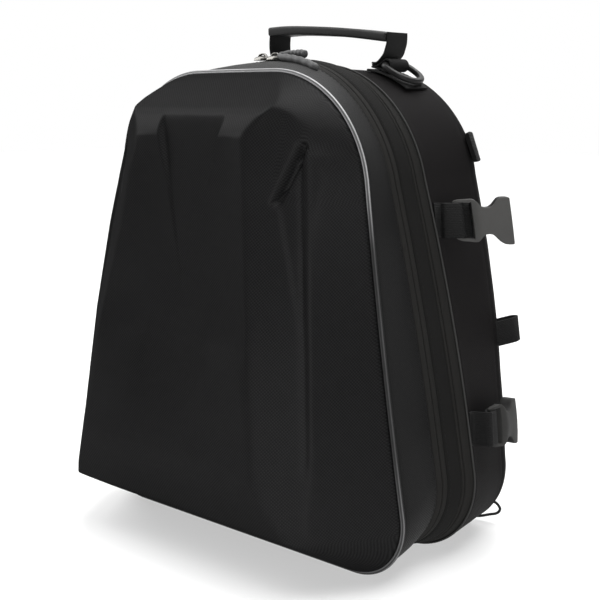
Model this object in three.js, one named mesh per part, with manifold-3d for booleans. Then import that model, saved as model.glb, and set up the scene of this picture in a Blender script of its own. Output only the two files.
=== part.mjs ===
// Motorcycle backpack: hard moulded front shell, two zippered gussets and a soft back section.
// Units are millimetres, +Z is up, the shell faces -Y and the wearer's back is at +Y.
import * as THREE from 'three';
import Module from 'manifold-3d';

const wasm = await Module();
wasm.setup();
const { Manifold, Mesh: SolidMesh } = wasm;

// ---------------------------------------------------------------- driving sizes
const Y_MID = 41.55;           // design origin (piping plane) to the middle of the depth
const Z_BASE = 11;           // design height of the floor under the bag
const GAP = 0.4;             // clearance between neighbouring pieces
const SHELL_WALL = 3.0;
const CLOTH_WALL = 2.2;
const PIPING_R = 2.0;
const WEBBING_W = 25;        // strap webbing width
const WEBBING_T = 1.6;       // strap webbing thickness
const REAR_ROUND = 26;       // rounding of the rear edge
const REAR_Y = 153;          // plane of the wearer's back

// outline rows: half widths, bottom and top heights, corner radii, crown of the top edge, belly of the side
const SECTIONS = [
  { name: 'piping',   y: 0,   half_bottom: 165,   half_top: 112.9, z_bottom: 13,   z_top: 364.2, r_bottom: 42, r_top: 85,   crown: 1.4, belly: -1.5 },
  { name: 'zip_in',   y: 43,  half_bottom: 168.6, half_top: 93,    z_bottom: 15.5, z_top: 367,   r_bottom: 53.5, r_top: 104, crown: 10, belly: 2.7 },
  { name: 'zip_out',  y: 53,  half_bottom: 171.8, half_top: 94,    z_bottom: 15,   z_top: 366.5, r_bottom: 54.5, r_top: 103, crown: 9.2, belly: 2.9 },
  { name: 'exp_out',  y: 65,  half_bottom: 176.5, half_top: 96.5,  z_bottom: 13.5, z_top: 365,   r_bottom: 56, r_top: 100,  crown: 7,   belly: 3.2 },
  { name: 'rear_in',  y: 75,  half_bottom: 181.5, half_top: 99.5,  z_bottom: 12,   z_top: 363.4, r_bottom: 57, r_top: 96,   crown: 4.6, belly: 3.6 },
  { name: 'back',     y: 75,  half_bottom: 182.5, half_top: 100,   z_bottom: 11,   z_top: 363.3, r_bottom: 57, r_top: 95.5, crown: 4.4, belly: 3.6 },
  { name: 'rear',     y: 125, half_bottom: 166.5, half_top: 110.2, z_bottom: 11,   z_top: 364.5, r_bottom: 53, r_top: 87,   crown: 4.0, belly: 4.8 },
];
const ROW = Object.fromEntries(SECTIONS.map((r) => [r.name, r]));

// points on each stretch of the half outline
const RUN = { bottom: 3, low_corner: 5, side: 5, high_corner: 6, top: 2 };

// shell relief, by height: fold between side slope and flank (x, depth), steepness of the slope and of the flank
const RELIEF = [
  { z: 10, fold_x: 130, fold_depth: 57, slope: 0.8, flank: 1.85 },
  { z: 60, fold_x: 126, fold_depth: 57, slope: 0.78, flank: 1.72 },
  { z: 96, fold_x: 119.25, fold_depth: 55.1, slope: 0.764, flank: 1.79 },
  { z: 142, fold_x: 112.3, fold_depth: 51.7, slope: 0.747, flank: 1.8 },
  { z: 164, fold_x: 109.2, fold_depth: 49.8, slope: 0.75, flank: 1.8 },
  { z: 183, fold_x: 106.6, fold_depth: 48.1, slope: 0.71, flank: 1.79 },
  { z: 207, fold_x: 103.2, fold_depth: 44.9, slope: 0.65, flank: 1.68 },
  { z: 230, fold_x: 99.9, fold_depth: 41.8, slope: 0.62, flank: 1.58 },
  { z: 251, fold_x: 96.9, fold_depth: 38.9, slope: 0.59, flank: 1.48 },
  { z: 273, fold_x: 93.5, fold_depth: 35.4, slope: 0.61, flank: 1.37 },
  { z: 295, fold_x: 89.9, fold_depth: 32.0, slope: 0.66, flank: 1.26 },
  { z: 308, fold_x: 88, fold_depth: 30, slope: 0.645, flank: 1.2 },
  { z: 321, fold_x: 85, fold_depth: 29.8, slope: 0.6, flank: 1.5 },
  { z: 330, fold_x: 83, fold_depth: 29.5, slope: 0.62, flank: 1.75 },
  { z: 347, fold_x: 76, fold_depth: 29, slope: 0.85, flank: 2.3 },
  { z: 380, fold_x: 64, fold_depth: 28, slope: 0.9, flank: 2.4 },
];
// front face by height: half width to its two long folds, depth ahead of the piping at the folds and in the dished middle
const FACE = [
  { z: 8, half: 94.0, fold: 50.0, mid: 50.00 },
  { z: 45, half: 93.3, fold: 65.0, mid: 65.00 },
  { z: 60, half: 93.0, fold: 71.0, mid: 71.17 },
  { z: 84, half: 90.9, fold: 78.7, mid: 81.05 },
  { z: 93, half: 90.1, fold: 78.0, mid: 80.50 },
  { z: 122, half: 86.0, fold: 75.1, mid: 74.50 },
  { z: 149, half: 82.4, fold: 72.8, mid: 67.50 },
  { z: 164, half: 80.5, fold: 71.4, mid: 64.02 },
  { z: 183, half: 77.4, fold: 68.9, mid: 59.68 },
  { z: 198, half: 74.7, fold: 66.2, mid: 56.60 },
  { z: 214, half: 71.8, fold: 63.5, mid: 54.40 },
  { z: 240, half: 67.2, fold: 59.4, mid: 52.00 },
  { z: 260, half: 63.9, fold: 56.5, mid: 50.20 },
  { z: 287, half: 60.7, fold: 53.4, mid: 48.00 },
  { z: 321, half: 52.8, fold: 48.0, mid: 47.40 },
  { z: 345, half: 48.0, fold: 45.0, mid: 45.00 },
];
const SCOOP = { tip_z: 209, top_z: 321, half_top: 31 };   // V-shaped scoop running up the middle of the face
const SCOOP_FLOOR = [{ z: 200, depth: 55.6 }, { z: 214.4, depth: 54.2 }, { z: 335, depth: 40.3 }, { z: 350, depth: 38.5 }];
const BEVEL = { half_low: 53, low_z: 315, spread: 0.62, wall: 2.0 };   // wide bevel between the two shoulders
const BEVEL_LINE = [
  { z: 200, depth: 330 },
  { z: 300, depth: 80 },
  { z: 316, depth: 55.5 },
  { z: 322, depth: 47.5 },
  { z: 328, depth: 44.4 },
  { z: 335, depth: 40.3 },
  { z: 340, depth: 35.4 },
  { z: 352, depth: 21.0 },
  { z: 368.5, depth: 0.0 },
  { z: 380, depth: -14 },
];
const SHELL_RINGS = [1.0, 0.96, 0.92, 0.88, 0.83, 0.77, 0.70, 0.62, 0.53, 0.43, 0.31, 0.17];

// ---------------------------------------------------------------- small helpers
const lerp = (a, b, t) => a + (b - a) * t;
function table(rows, column, z) {
  if (z <= rows[0].z) return rows[0][column];
  for (let i = 1; i < rows.length; i++) {
    if (z <= rows[i].z) {
      const t = (z - rows[i - 1].z) / (rows[i].z - rows[i - 1].z);
      return lerp(rows[i - 1][column], rows[i][column], t);
    }
  }
  return rows[rows.length - 1][column];
}
function mixRow(a, b, t) {
  const out = {};
  for (const k of Object.keys(a)) out[k] = k === 'name' ? a.name : lerp(a[k], b[k], t);
  return out;
}

// closed outline in X-Z, counter-clockwise seen from the front, inset by a distance
function outline(row, inset = 0) {
  const V = (x, z) => new THREE.Vector2(x, z);
  const corners = [V(0, row.z_bottom), V(row.half_bottom, row.z_bottom), V(row.half_top, row.z_top), V(0, row.z_top)];
  const arcs = [[corners[0], corners[1], corners[2], row.r_bottom, RUN.low_corner], [corners[1], corners[2], corners[3], row.r_top, RUN.high_corner]]
    .map(([p0, p1, p2, r, n]) => {
      const d0 = p0.clone().sub(p1).normalize();
      const d1 = p2.clone().sub(p1).normalize();
      const half = Math.acos(THREE.MathUtils.clamp(d0.dot(d1), -1, 1)) / 2;
      const centre = p1.clone().addScaledVector(d0.clone().add(d1).normalize(), r / Math.sin(half));
      const s = p1.clone().addScaledVector(d0, r / Math.tan(half)).sub(centre);
      const sweep = Math.PI - 2 * half;
      return Array.from({ length: n + 1 }, (_, k) => s.clone().rotateAround(V(0, 0), (sweep * k) / n).add(centre));
    });
  const [low, high] = arcs;
  const right = [];
  for (let k = 0; k < RUN.bottom; k++) right.push(V(lerp(0, low[0].x, k / RUN.bottom), row.z_bottom));
  right.push(...low);
  const a = low[low.length - 1];
  const b = high[0];
  const out = V(b.y - a.y, a.x - b.x).normalize();
  for (let k = 1; k < RUN.side; k++) {
    const t = k / RUN.side;
    right.push(a.clone().lerp(b, t).addScaledVector(out, row.belly * 4 * t * (1 - t)));
  }
  const end = high[high.length - 1];
  const crown = (x) => row.crown * (1 - Math.min(1, Math.abs(x) / high[0].x) ** 2);
  for (const p of high) right.push(V(p.x, p.y + crown(p.x)));
  for (let k = 1; k < RUN.top; k++) {
    const x = end.x * (1 - k / RUN.top);
    right.push(V(x, row.z_top + crown(x)));
  }
  right.push(V(0, row.z_top + row.crown));
  const left = right.slice(1, -1).reverse().map((p) => V(-p.x, p.y));
  const loop = right.concat(left);
  return inset === 0 ? loop : offsetLoop(loop, inset);
}
function offsetLoop(loop, inset) {
  const n = loop.length;
  return loop.map((p, i) => {
    const d = loop[(i + 1) % n].clone().sub(loop[(i + n - 1) % n]).normalize();
    return new THREE.Vector2(p.x - d.y * inset, p.y + d.x * inset);
  });
}
const ring = (loop, y) => loop.map((p) => new THREE.Vector3(p.x, typeof y === 'function' ? y(p) : y, p.y));

// closed solid from a run of equal rings: 'loop' joins the last ring to the first, 'fan' closes both ends
function ringSolid(rings, ends) {
  const n = rings[0].length;
  const pos = [];
  rings.forEach((r) => r.forEach((p) => pos.push(p.x, p.y, p.z)));
  const idx = [];
  const count = ends === 'loop' ? rings.length : rings.length - 1;
  for (let i = 0; i < count; i++) {
    const a0 = i * n;
    const b0 = ((i + 1) % rings.length) * n;
    for (let j = 0; j < n; j++) {
      const k = (j + 1) % n;
      idx.push(a0 + j, a0 + k, b0 + k, a0 + j, b0 + k, b0 + j);
    }
  }
  if (ends === 'fan') {
    [[rings[0], 0, false], [rings[rings.length - 1], (rings.length - 1) * n, true]].forEach(([r, base, flip]) => {
      const c = r.reduce((s, p) => s.add(p), new THREE.Vector3()).multiplyScalar(1 / n);
      const ci = pos.length / 3;
      pos.push(c.x, c.y, c.z);
      for (let j = 0; j < n; j++) {
        const k = (j + 1) % n;
        if (flip) idx.push(base + j, base + k, ci); else idx.push(base + k, base + j, ci);
      }
    });
  }
  const g = new THREE.BufferGeometry();
  g.setAttribute('position', new THREE.Float32BufferAttribute(pos, 3));
  g.setIndex(volume(pos, idx) < 0 ? idx.map((_, i) => idx[i - (i % 3) + (2 - (i % 3))]) : idx);
  g.computeVertexNormals();
  return g;
}
function volume(pos, idx) {
  let v = 0;
  const p = (i) => new THREE.Vector3(pos[3 * i], pos[3 * i + 1], pos[3 * i + 2]);
  for (let i = 0; i < idx.length; i += 3) v += p(idx[i]).dot(p(idx[i + 1]).cross(p(idx[i + 2]))) / 6;
  return v;
}

// flat strap: a thickened run of points, extruded across its width
function ribbonShape(points, thickness) {
  const n = points.length;
  const side = (s) => points.map((p, i) => {
    const a = points[Math.max(0, i - 1)];
    const b = points[Math.min(n - 1, i + 1)];
    const d = b.clone().sub(a).normalize();
    return new THREE.Vector2(p.x - d.y * s, p.y + d.x * s);
  });
  return new THREE.Shape(side(-thickness / 2).concat(side(thickness / 2).reverse()));
}
const slab = (shape, depth) => new THREE.ExtrudeGeometry(shape, { depth, bevelEnabled: false, curveSegments: 5 });
const pts = (rows) => rows.map(([x, y]) => new THREE.Vector2(x, y));

// shape drawn in X-Z, extruded along Y from y0
function acrossY(shape, y0, width) {
  const g = slab(shape, width);
  g.rotateX(Math.PI / 2);
  g.translate(0, y0 + width, 0);
  return g;
}
// round cord along a smooth route
function cord(route, radius, sides = 6, steps = 10) {
  const circle = new THREE.Shape();
  circle.absarc(0, 0, radius, 0, Math.PI * 2, false);
  const path = new THREE.CatmullRomCurve3(route.map((p) => new THREE.Vector3(...p)));
  return new THREE.ExtrudeGeometry(circle, { steps, bevelEnabled: false, extrudePath: path, curveSegments: sides });
}
// boolean subtraction on closed geometries
function toSolid(g) {
  const src = g.index ? g.toNonIndexed() : g;
  const raw = src.attributes.position.array;
  const key = new Map();
  const verts = [];
  const tris = [];
  for (let i = 0; i < raw.length; i += 3) {
    const k = `${raw[i].toFixed(4)},${raw[i + 1].toFixed(4)},${raw[i + 2].toFixed(4)}`;
    if (!key.has(k)) { key.set(k, verts.length / 3); verts.push(raw[i], raw[i + 1], raw[i + 2]); }
    tris.push(key.get(k));
  }
  const m = new SolidMesh({ numProp: 3, vertProperties: new Float32Array(verts), triVerts: new Uint32Array(tris) });
  m.merge();
  return new Manifold(m);
}
function cut(g, ...tools) {
  let s = toSolid(g);
  for (const t of tools) s = s.subtract(toSolid(t));
  const m = s.getMesh();
  const out = new THREE.BufferGeometry();
  out.setAttribute('position', new THREE.Float32BufferAttribute(m.vertProperties, 3));
  out.setIndex(new THREE.Uint32BufferAttribute(m.triVerts, 1));
  out.computeVertexNormals();
  return out;
}
function boxAt(w, d, h, x, y, z) {
  const g = new THREE.BoxGeometry(w, d, h);
  g.translate(x, y, z);
  return g;
}

// ---------------------------------------------------------------- materials
const mat = (hex, roughness, metalness = 0) => new THREE.MeshStandardMaterial({ color: hex, roughness, metalness });
const MAT = {
  shell: mat(0x1d1e20, 0.55),
  piping: mat(0x8a8c8e, 0.45),
  cloth: mat(0x1f1f20, 0.85),
  back: mat(0x191718, 0.9),
  zip: mat(0x171717, 0.6),
  webbing: mat(0x161616, 0.8),
  plastic: mat(0x2a2a29, 0.4),
  chrome: mat(0xc4c6c8, 0.2, 1.0),
  rubber: mat(0x4c4d4e, 0.6),
};

// ---------------------------------------------------------------- assembly
const bag = new THREE.Group();
const frame = new THREE.Group();
frame.position.set(0, -Y_MID, -Z_BASE);
bag.add(frame);
function add(name, geometry, material, place) {
  const mesh = new THREE.Mesh(geometry, material);
  mesh.name = name;
  if (place) place(mesh);
  frame.add(mesh);
  return mesh;
}

// -- shell: faceted face, side slopes and flanks, smallest depth wins
const PIPE_LOOP = outline(ROW.piping);
function rimDistance(x, z) {
  let best = 1e9;
  for (let i = 0; i < PIPE_LOOP.length; i++) {
    const a = PIPE_LOOP[i];
    const b = PIPE_LOOP[(i + 1) % PIPE_LOOP.length];
    const d = b.clone().sub(a);
    const t = THREE.MathUtils.clamp(((x - a.x) * d.x + (z - a.y) * d.y) / d.lengthSq(), 0, 1);
    best = Math.min(best, Math.hypot(a.x + d.x * t - x, a.y + d.y * t - z));
  }
  return best;
}
function softMin(values, width) {
  const low = Math.min(...values);
  return low - width * Math.log(values.reduce((s, v) => s + Math.exp((low - v) / width), 0));
}
function shellDepth(x, z) {
  const ax = Math.abs(x);
  const { clamp, smoothstep } = THREE.MathUtils;
  const flank = table(RELIEF, 'flank', z) * rimDistance(x, z);
  const slope = table(RELIEF, 'fold_depth', z) + table(RELIEF, 'slope', z) * (table(RELIEF, 'fold_x', z) - ax);
  const up = clamp((z - SCOOP.tip_z) / (SCOOP.top_z - SCOOP.tip_z), 0, 1.3);
  const edge = SCOOP.half_top * Math.min(up, 1.08);
  const across = clamp((ax - edge) / (table(FACE, 'half', z) - edge), 0, 1.25);
  const mid = table(FACE, 'mid', z);
  const dished = mid + (table(FACE, 'fold', z) - mid) * across ** 1.6;
  const inside = smoothstep(edge - ax, -0.6, 3.2) * smoothstep(up, 0, 0.05);
  const face = Math.min(dished, lerp(dished, table(SCOOP_FLOOR, 'depth', z), inside));
  const reach = BEVEL.half_low + (z - BEVEL.low_z) * BEVEL.spread;
  const bevel = table(BEVEL_LINE, 'depth', z) + BEVEL.wall * Math.max(0, ax - reach);
  return Math.max(0, softMin([flank, slope, face, bevel], 1.0));
}
const RIM_Y = PIPING_R + GAP;
const SHELL_CENTRE = { x: 0, z: 205 };
function shellRing(base, s, wall) {
  return base.map((p) => {
    const x = lerp(SHELL_CENTRE.x, p.x, s);
    const z = lerp(SHELL_CENTRE.z, p.y, s);
    const e = 2.0;
    const gx = (shellDepth(x + e, z) - shellDepth(x - e, z)) / (2 * e);
    const gz = (shellDepth(x, z + e) - shellDepth(x, z - e)) / (2 * e);
    const drop = wall * Math.min(2.1, Math.hypot(1, gx, gz));
    return new THREE.Vector3(x, -Math.max(RIM_Y, RIM_Y + shellDepth(x, z) - drop), z);
  });
}
const rimOuter = outline(ROW.piping, 0.6);
const rimInner = outline(ROW.piping, 0.6 + SHELL_WALL * 1.3);
const outerRings = SHELL_RINGS.map((s) => shellRing(rimOuter, s, 0)).reverse();
const innerRings = SHELL_RINGS.map((s) => shellRing(rimInner, s, SHELL_WALL));
outerRings[outerRings.length - 1].forEach((p) => { p.y = -RIM_Y; });
innerRings[0].forEach((p) => { p.y = -RIM_Y; });
add('shell', ringSolid(outerRings.concat(innerRings), 'fan'), MAT.shell);

// -- piping: round bead around the rim
function bead(loop, y, radius, sides) {
  const n = loop.length;
  const rings = Array.from({ length: sides }, (_, k) => {
    const a = (k / sides) * Math.PI * 2;
    return loop.map((p, i) => {
      const d = loop[(i + 1) % n].clone().sub(loop[(i + n - 1) % n]).normalize();
      return new THREE.Vector3(p.x + d.y * radius * Math.cos(a), y + radius * Math.sin(a), p.y - d.x * radius * Math.cos(a));
    });
  });
  return ringSolid(rings, 'loop');
}
add('piping', bead(PIPE_LOOP, 0, PIPING_R, 6), MAT.piping);

// -- gusset bands, each a hollow belt between two outlines
function belt(rowA, rowB, y0, y1, wall, inset = 0) {
  return ringSolid([
    ring(outline(rowA, inset), y0), ring(outline(rowB, inset), y1),
    ring(outline(rowB, inset + wall), y1), ring(outline(rowA, inset + wall), y0),
  ], 'loop');
}
add('front_gusset', belt(ROW.piping, ROW.zip_in, PIPING_R + GAP, ROW.zip_in.y - GAP / 2, CLOTH_WALL, 0.4), MAT.cloth);
add('main_zipper', belt(ROW.zip_in, ROW.zip_out, ROW.zip_in.y + GAP / 2, ROW.zip_out.y - GAP / 2, 2.6), MAT.zip);
add('expander_gusset', belt(ROW.zip_out, ROW.exp_out, ROW.zip_out.y + GAP / 2, ROW.exp_out.y - GAP / 2, CLOTH_WALL), MAT.cloth);
add('rear_zipper', belt(ROW.exp_out, ROW.rear_in, ROW.exp_out.y + GAP / 2, ROW.rear_in.y - GAP / 2, 2.6), MAT.zip);

// -- back section: side wall, rounded rear edge and back, one bowl open to the front
const ROUND_STEPS = 4;
function bowlRings(inset, backY) {
  const rings = [ring(outline(ROW.back, inset), ROW.rear_in.y + GAP / 2), ring(outline(mixRow(ROW.back, ROW.rear, 0.5), inset), (ROW.back.y + ROW.rear.y) / 2)];
  for (let k = 0; k <= ROUND_STEPS; k++) {
    const a = (k / ROUND_STEPS) * (Math.PI / 2);
    const r = REAR_ROUND - inset;
    rings.push(ring(outline(ROW.rear, inset + r * (1 - Math.cos(a))), backY - r * (1 - Math.sin(a))));
  }
  return rings;
}
const backOuter = bowlRings(0, REAR_Y);
const backInner = bowlRings(CLOTH_WALL + 0.6, REAR_Y - CLOTH_WALL - 0.6);
add('back_body', ringSolid(backOuter.slice().reverse().concat(backInner), 'fan'), MAT.back);

// -- carry handle along X over the back section
const HANDLE_Y = 111;
const GRIP = [[-60.5, 401.0], [-46, 401.4], [-32, 401.1], [-10, 399.8], [10, 398.3], [30, 396.3], [48, 394.0], [61.5, 392.2]];
add('handle_grip', acrossY(ribbonShape(pts(GRIP), 7), HANDLE_Y - 13.5, 27), MAT.rubber);
const topHeight = (x, y = HANDLE_Y + 13.5) => {  // upper surface of the back section at a given X
  const loop = outline(mixRow(ROW.back, ROW.rear, (y - ROW.back.y) / (ROW.rear.y - ROW.back.y)));
  for (let i = 0; i < loop.length; i++) {
    const a = loop[i];
    const b = loop[(i + 1) % loop.length];
    if (a.y > 200 && b.y > 200 && (a.x - x) * (b.x - x) <= 0 && a.x !== b.x) return lerp(a.y, b.y, (x - a.x) / (b.x - a.x));
  }
  return ROW.back.z_top;
};
// -- D-rings in folded webbing tabs, drawn in a frame that lies on the shoulder
const RING = { x: 59, bar: 4.2, outer_half: 17.5, inner_half: 13, reach: 27, droop_deg: 12 };
const TAB = { bore_r: 3.5, skin: 1.5, patch_t: 1.6, tail: 3.0 };
const AXIS_LIFT = GAP + TAB.patch_t + 0.3 + TAB.skin + TAB.bore_r;
const shoulderTilt = Math.atan2(topHeight(RING.x - 6) - topHeight(RING.x + 6), 12);
const shoulder = { x: RING.x, z: topHeight(RING.x) + 0.5 };
const onShoulder = (s) => (mesh) => {
  mesh.position.set(s * shoulder.x, HANDLE_Y, shoulder.z);
  mesh.rotation.y = s * shoulderTilt;
};
function dRing(s) {
  const h = RING.outer_half;
  const outer = new THREE.Shape();
  outer.moveTo(-RING.bar / 2, -h);
  outer.lineTo(RING.reach - h + 3, -h);
  outer.absarc(RING.reach - h + 1, 0, h, -Math.PI / 2 + 0.12, Math.PI / 2 - 0.12, false);
  outer.lineTo(RING.reach - h + 3, h);
  outer.lineTo(-RING.bar / 2, h);
  outer.closePath();
  const hole = new THREE.Path();
  const i = RING.inner_half;
  hole.moveTo(RING.bar / 2, -i);
  hole.lineTo(RING.bar / 2, i);
  hole.absarc(RING.reach - h + 1, 0, i, Math.PI / 2, -Math.PI / 2, true);
  hole.closePath();
  outer.holes.push(hole);
  const g = slab(outer, RING.bar);
  g.translate(0, 0, -RING.bar / 2);
  g.rotateY(THREE.MathUtils.degToRad(RING.droop_deg));
  if (s < 0) g.rotateZ(Math.PI);
  g.translate(0, 0, AXIS_LIFT);
  return g;
}
function ringTab(s) {
  const R = TAB.bore_r + TAB.skin;
  const low = GAP + TAB.patch_t + 0.3;
  const shape = new THREE.Shape();
  shape.moveTo(-13, low);
  shape.lineTo(0, low);
  shape.absarc(0, AXIS_LIFT, R, -Math.PI / 2, Math.PI * 0.88, false);
  shape.lineTo(-9, low + TAB.tail);
  shape.lineTo(-13, low + TAB.tail);
  shape.closePath();
  const bore = new THREE.Path();
  bore.absarc(0, AXIS_LIFT, TAB.bore_r, 0, Math.PI * 2, true);
  shape.holes.push(bore);
  const g = acrossY(shape, -11.6, 23.2);
  if (s < 0) g.rotateZ(Math.PI);
  return g;
}
for (const [side, s] of [['left', -1], ['right', 1]]) {
  const lie = [44, 50, 56, 62, 68, 74, 80, 85].map((x) => [s * x, topHeight(x) + 0.6 + TAB.patch_t / 2]);
  add(`ring_patch_${side}`, acrossY(ribbonShape(pts(lie), TAB.patch_t), HANDLE_Y - 13.5, 27), MAT.webbing);
  add(`ring_tab_${side}`, ringTab(s), MAT.webbing, onShoulder(s));
  add(`d_ring_${side}`, dRing(s), MAT.plastic, onShoulder(s));
}

// -- handle legs: down from the grip's ends, folded in and sewn down on the tabs' tails
const fromShoulder = (u, w) => [shoulder.x + u * Math.cos(shoulderTilt) + w * Math.sin(shoulderTilt), shoulder.z - u * Math.sin(shoulderTilt) + w * Math.cos(shoulderTilt)];
const FOOT_LIFT = GAP + TAB.patch_t + 0.3 + TAB.tail + 0.4 + WEBBING_T / 2;
const FOOT = [fromShoulder(-8.6, FOOT_LIFT + 1.6), fromShoulder(-11, FOOT_LIFT), fromShoulder(-17, FOOT_LIFT)];
const LEGS = {
  left: { s: -1, down: [[58.8, 396.9], [59.4, 391], [58.8, 384.5], [56.4, 377.8]] },
  right: { s: 1, down: [[59.8, 388.0], [61.2, 384.6], [60.0, 380.0], [57.0, 376.9]] },
};
for (const [side, { s, down }] of Object.entries(LEGS)) {
  const run = pts(down.concat(FOOT).map(([x, z]) => [s * x, z]));
  add(`handle_leg_${side}`, acrossY(ribbonShape(run, WEBBING_T), HANDLE_Y - WEBBING_W / 2, WEBBING_W), MAT.webbing);
}

// -- zipper sliders and their soft pulls on top of the main zipper
const zipTop = (x) => {
  const loop = outline(mixRow(ROW.zip_in, ROW.zip_out, 0.5));
  let best = 0;
  for (let i = 0; i < loop.length; i++) {
    const a = loop[i];
    const b = loop[(i + 1) % loop.length];
    if (a.y > 200 && b.y > 200 && (a.x - x) * (b.x - x) <= 0 && a.x !== b.x) best = Math.max(best, lerp(a.y, b.y, (x - a.x) / (b.x - a.x)));
  }
  return best;
};
const ZIP_Y = (ROW.zip_in.y + ROW.zip_out.y) / 2;
const SLIDER = { length: 12, width: 8.5, height: 4.6 };
for (const [name, x] of [['a', -18.5], ['b', -5]]) {
  const body = new THREE.Shape(pts([[-6, 0], [6, 0], [6, 2.2], [3.2, 4.6], [-3.2, 4.6], [-6, 2.2]]));
  add(`zip_slider_${name}`, acrossY(body, -SLIDER.width / 2, SLIDER.width), MAT.chrome, (m) => m.position.set(x, ZIP_Y, Math.max(zipTop(x - 6), zipTop(x), zipTop(x + 6)) + GAP + 0.7));
}
const PULL_R = 2.3;
const PULLS = {
  a: [[4, ZIP_Y + 4], [10, ZIP_Y + 5.5], [16, ZIP_Y + 6.5], [23, ZIP_Y + 7]],
  b: [[4, ZIP_Y - 2], [15, ZIP_Y - 3.5], [27, ZIP_Y - 5], [39, ZIP_Y - 6], [47, ZIP_Y - 6.5]],
};
const gussetTop = (x) => zipTop(x);
for (const [name, rows] of Object.entries(PULLS)) {
  add(`zip_pull_${name}`, cord(rows.map(([x, y], i) => [x, y, gussetTop(x) + PULL_R + 1.4 - (i === 0 ? 0 : 0.2)]), PULL_R, 4, 8), MAT.rubber);
}

// -- side straps with the female halves of side-release buckles
const sideX = (z, y = ROW.rear.y) => {          // outer side of the back section at a given height and depth
  const t = THREE.MathUtils.clamp((y - ROW.back.y) / (ROW.rear.y - ROW.back.y), 0, 1);
  const loop = outline(mixRow(ROW.back, ROW.rear, t)).filter((p) => p.x > 0);
  for (let i = 0; i + 1 < loop.length; i++) if ((loop[i].y - z) * (loop[i + 1].y - z) <= 0 && loop[i].y !== loop[i + 1].y) {
    return lerp(loop[i].x, loop[i + 1].x, (z - loop[i].y) / (loop[i + 1].y - loop[i].y));
  }
  return ROW.back.half_top;
};
function upright(points, thickness, z0, height, s, lean_deg) {   // leaned in with the wall, or by an angle, over its height
  const g = slab(ribbonShape(points, thickness), height);
  const lean = lean_deg === undefined ? (s * (sideX(z0 + height) - sideX(z0))) / height : -s * Math.tan(THREE.MathUtils.degToRad(lean_deg));
  g.applyMatrix4(new THREE.Matrix4().set(1, 0, lean, -lean * (height / 2), 0, 1, 0, 0, 0, 0, 1, z0, 0, 0, 0, 1));
  return g;
}
const STRAPS = {                                // height, buckle stand-off from the wall and depth, heading from +X towards +Y, lean of the webbing
  upper: { z: 258, off: 10.5, y: 85, heading_deg: 44, lean_deg: 0 },
  lower: { z: 107, off: 12.2, y: 90, heading_deg: 102, lean_deg: 0 },
};
const STRAP_ROOT = { y: 77.5, off: 4.6 };
const BUCKLE = { length: 41, thick: 11, cavity: 6.6 };
function buckleBody() {
  const half = [[0, 14], [2, 16.5], [13, 16.5], [16, 14.5], [18.8, 11], [21.5, 9.7], [25.5, 9.7], [28.3, 11.5], [31.2, 15], [34, 16.2], [39.5, 16.2], [41, 15]];
  const shape = new THREE.Shape(pts(half.concat(half.slice().reverse().map(([u, w]) => [u, -w]))));
  const g = slab(shape, BUCKLE.thick);
  g.translate(0, 0, -BUCKLE.thick / 2);
  return cut(g,
    boxAt(28, 27.5, BUCKLE.cavity, 15.5 + 14, 0, 0),
    boxAt(9, 26.5, BUCKLE.thick + 2, 4 + 4.5, 0, 0),
    boxAt(9.4, 27, 8, 3.7, 0, 7),
    boxAt(9.4, 27, 8, 3.7, 0, -7));
}
for (const [side, s] of [['left', -1], ['right', 1]]) {
  for (const [level, row] of Object.entries(STRAPS)) {
    const rad = THREE.MathUtils.degToRad;
    const h = rad(row.heading_deg);
    const start = new THREE.Vector2(sideX(row.z, row.y) + row.off, row.y);
    const along = new THREE.Vector2(Math.cos(h), Math.sin(h));
    const end = start.clone().addScaledVector(along, -GAP - 0.8);
    const root = new THREE.Vector2(sideX(row.z, STRAP_ROOT.y) + STRAP_ROOT.off, STRAP_ROOT.y);
    const route = [root, root.clone().lerp(end, 0.35).add(new THREE.Vector2(0.4, 0)), end.clone().addScaledVector(along, -4), end];
    add(`${level}_strap_${side}`, upright(route.map((p) => new THREE.Vector2(s * p.x, p.y)), WEBBING_T, row.z - WEBBING_W / 2, WEBBING_W, s, row.lean_deg), MAT.webbing);
    const body = buckleBody();
    body.rotateX(Math.PI / 2);
    add(`${level}_buckle_${side}`, body, MAT.plastic, (m) => {
      m.position.set(s * start.x, start.y, row.z);
      m.rotation.z = s > 0 ? h : Math.PI - h;
    });
  }
}

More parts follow.
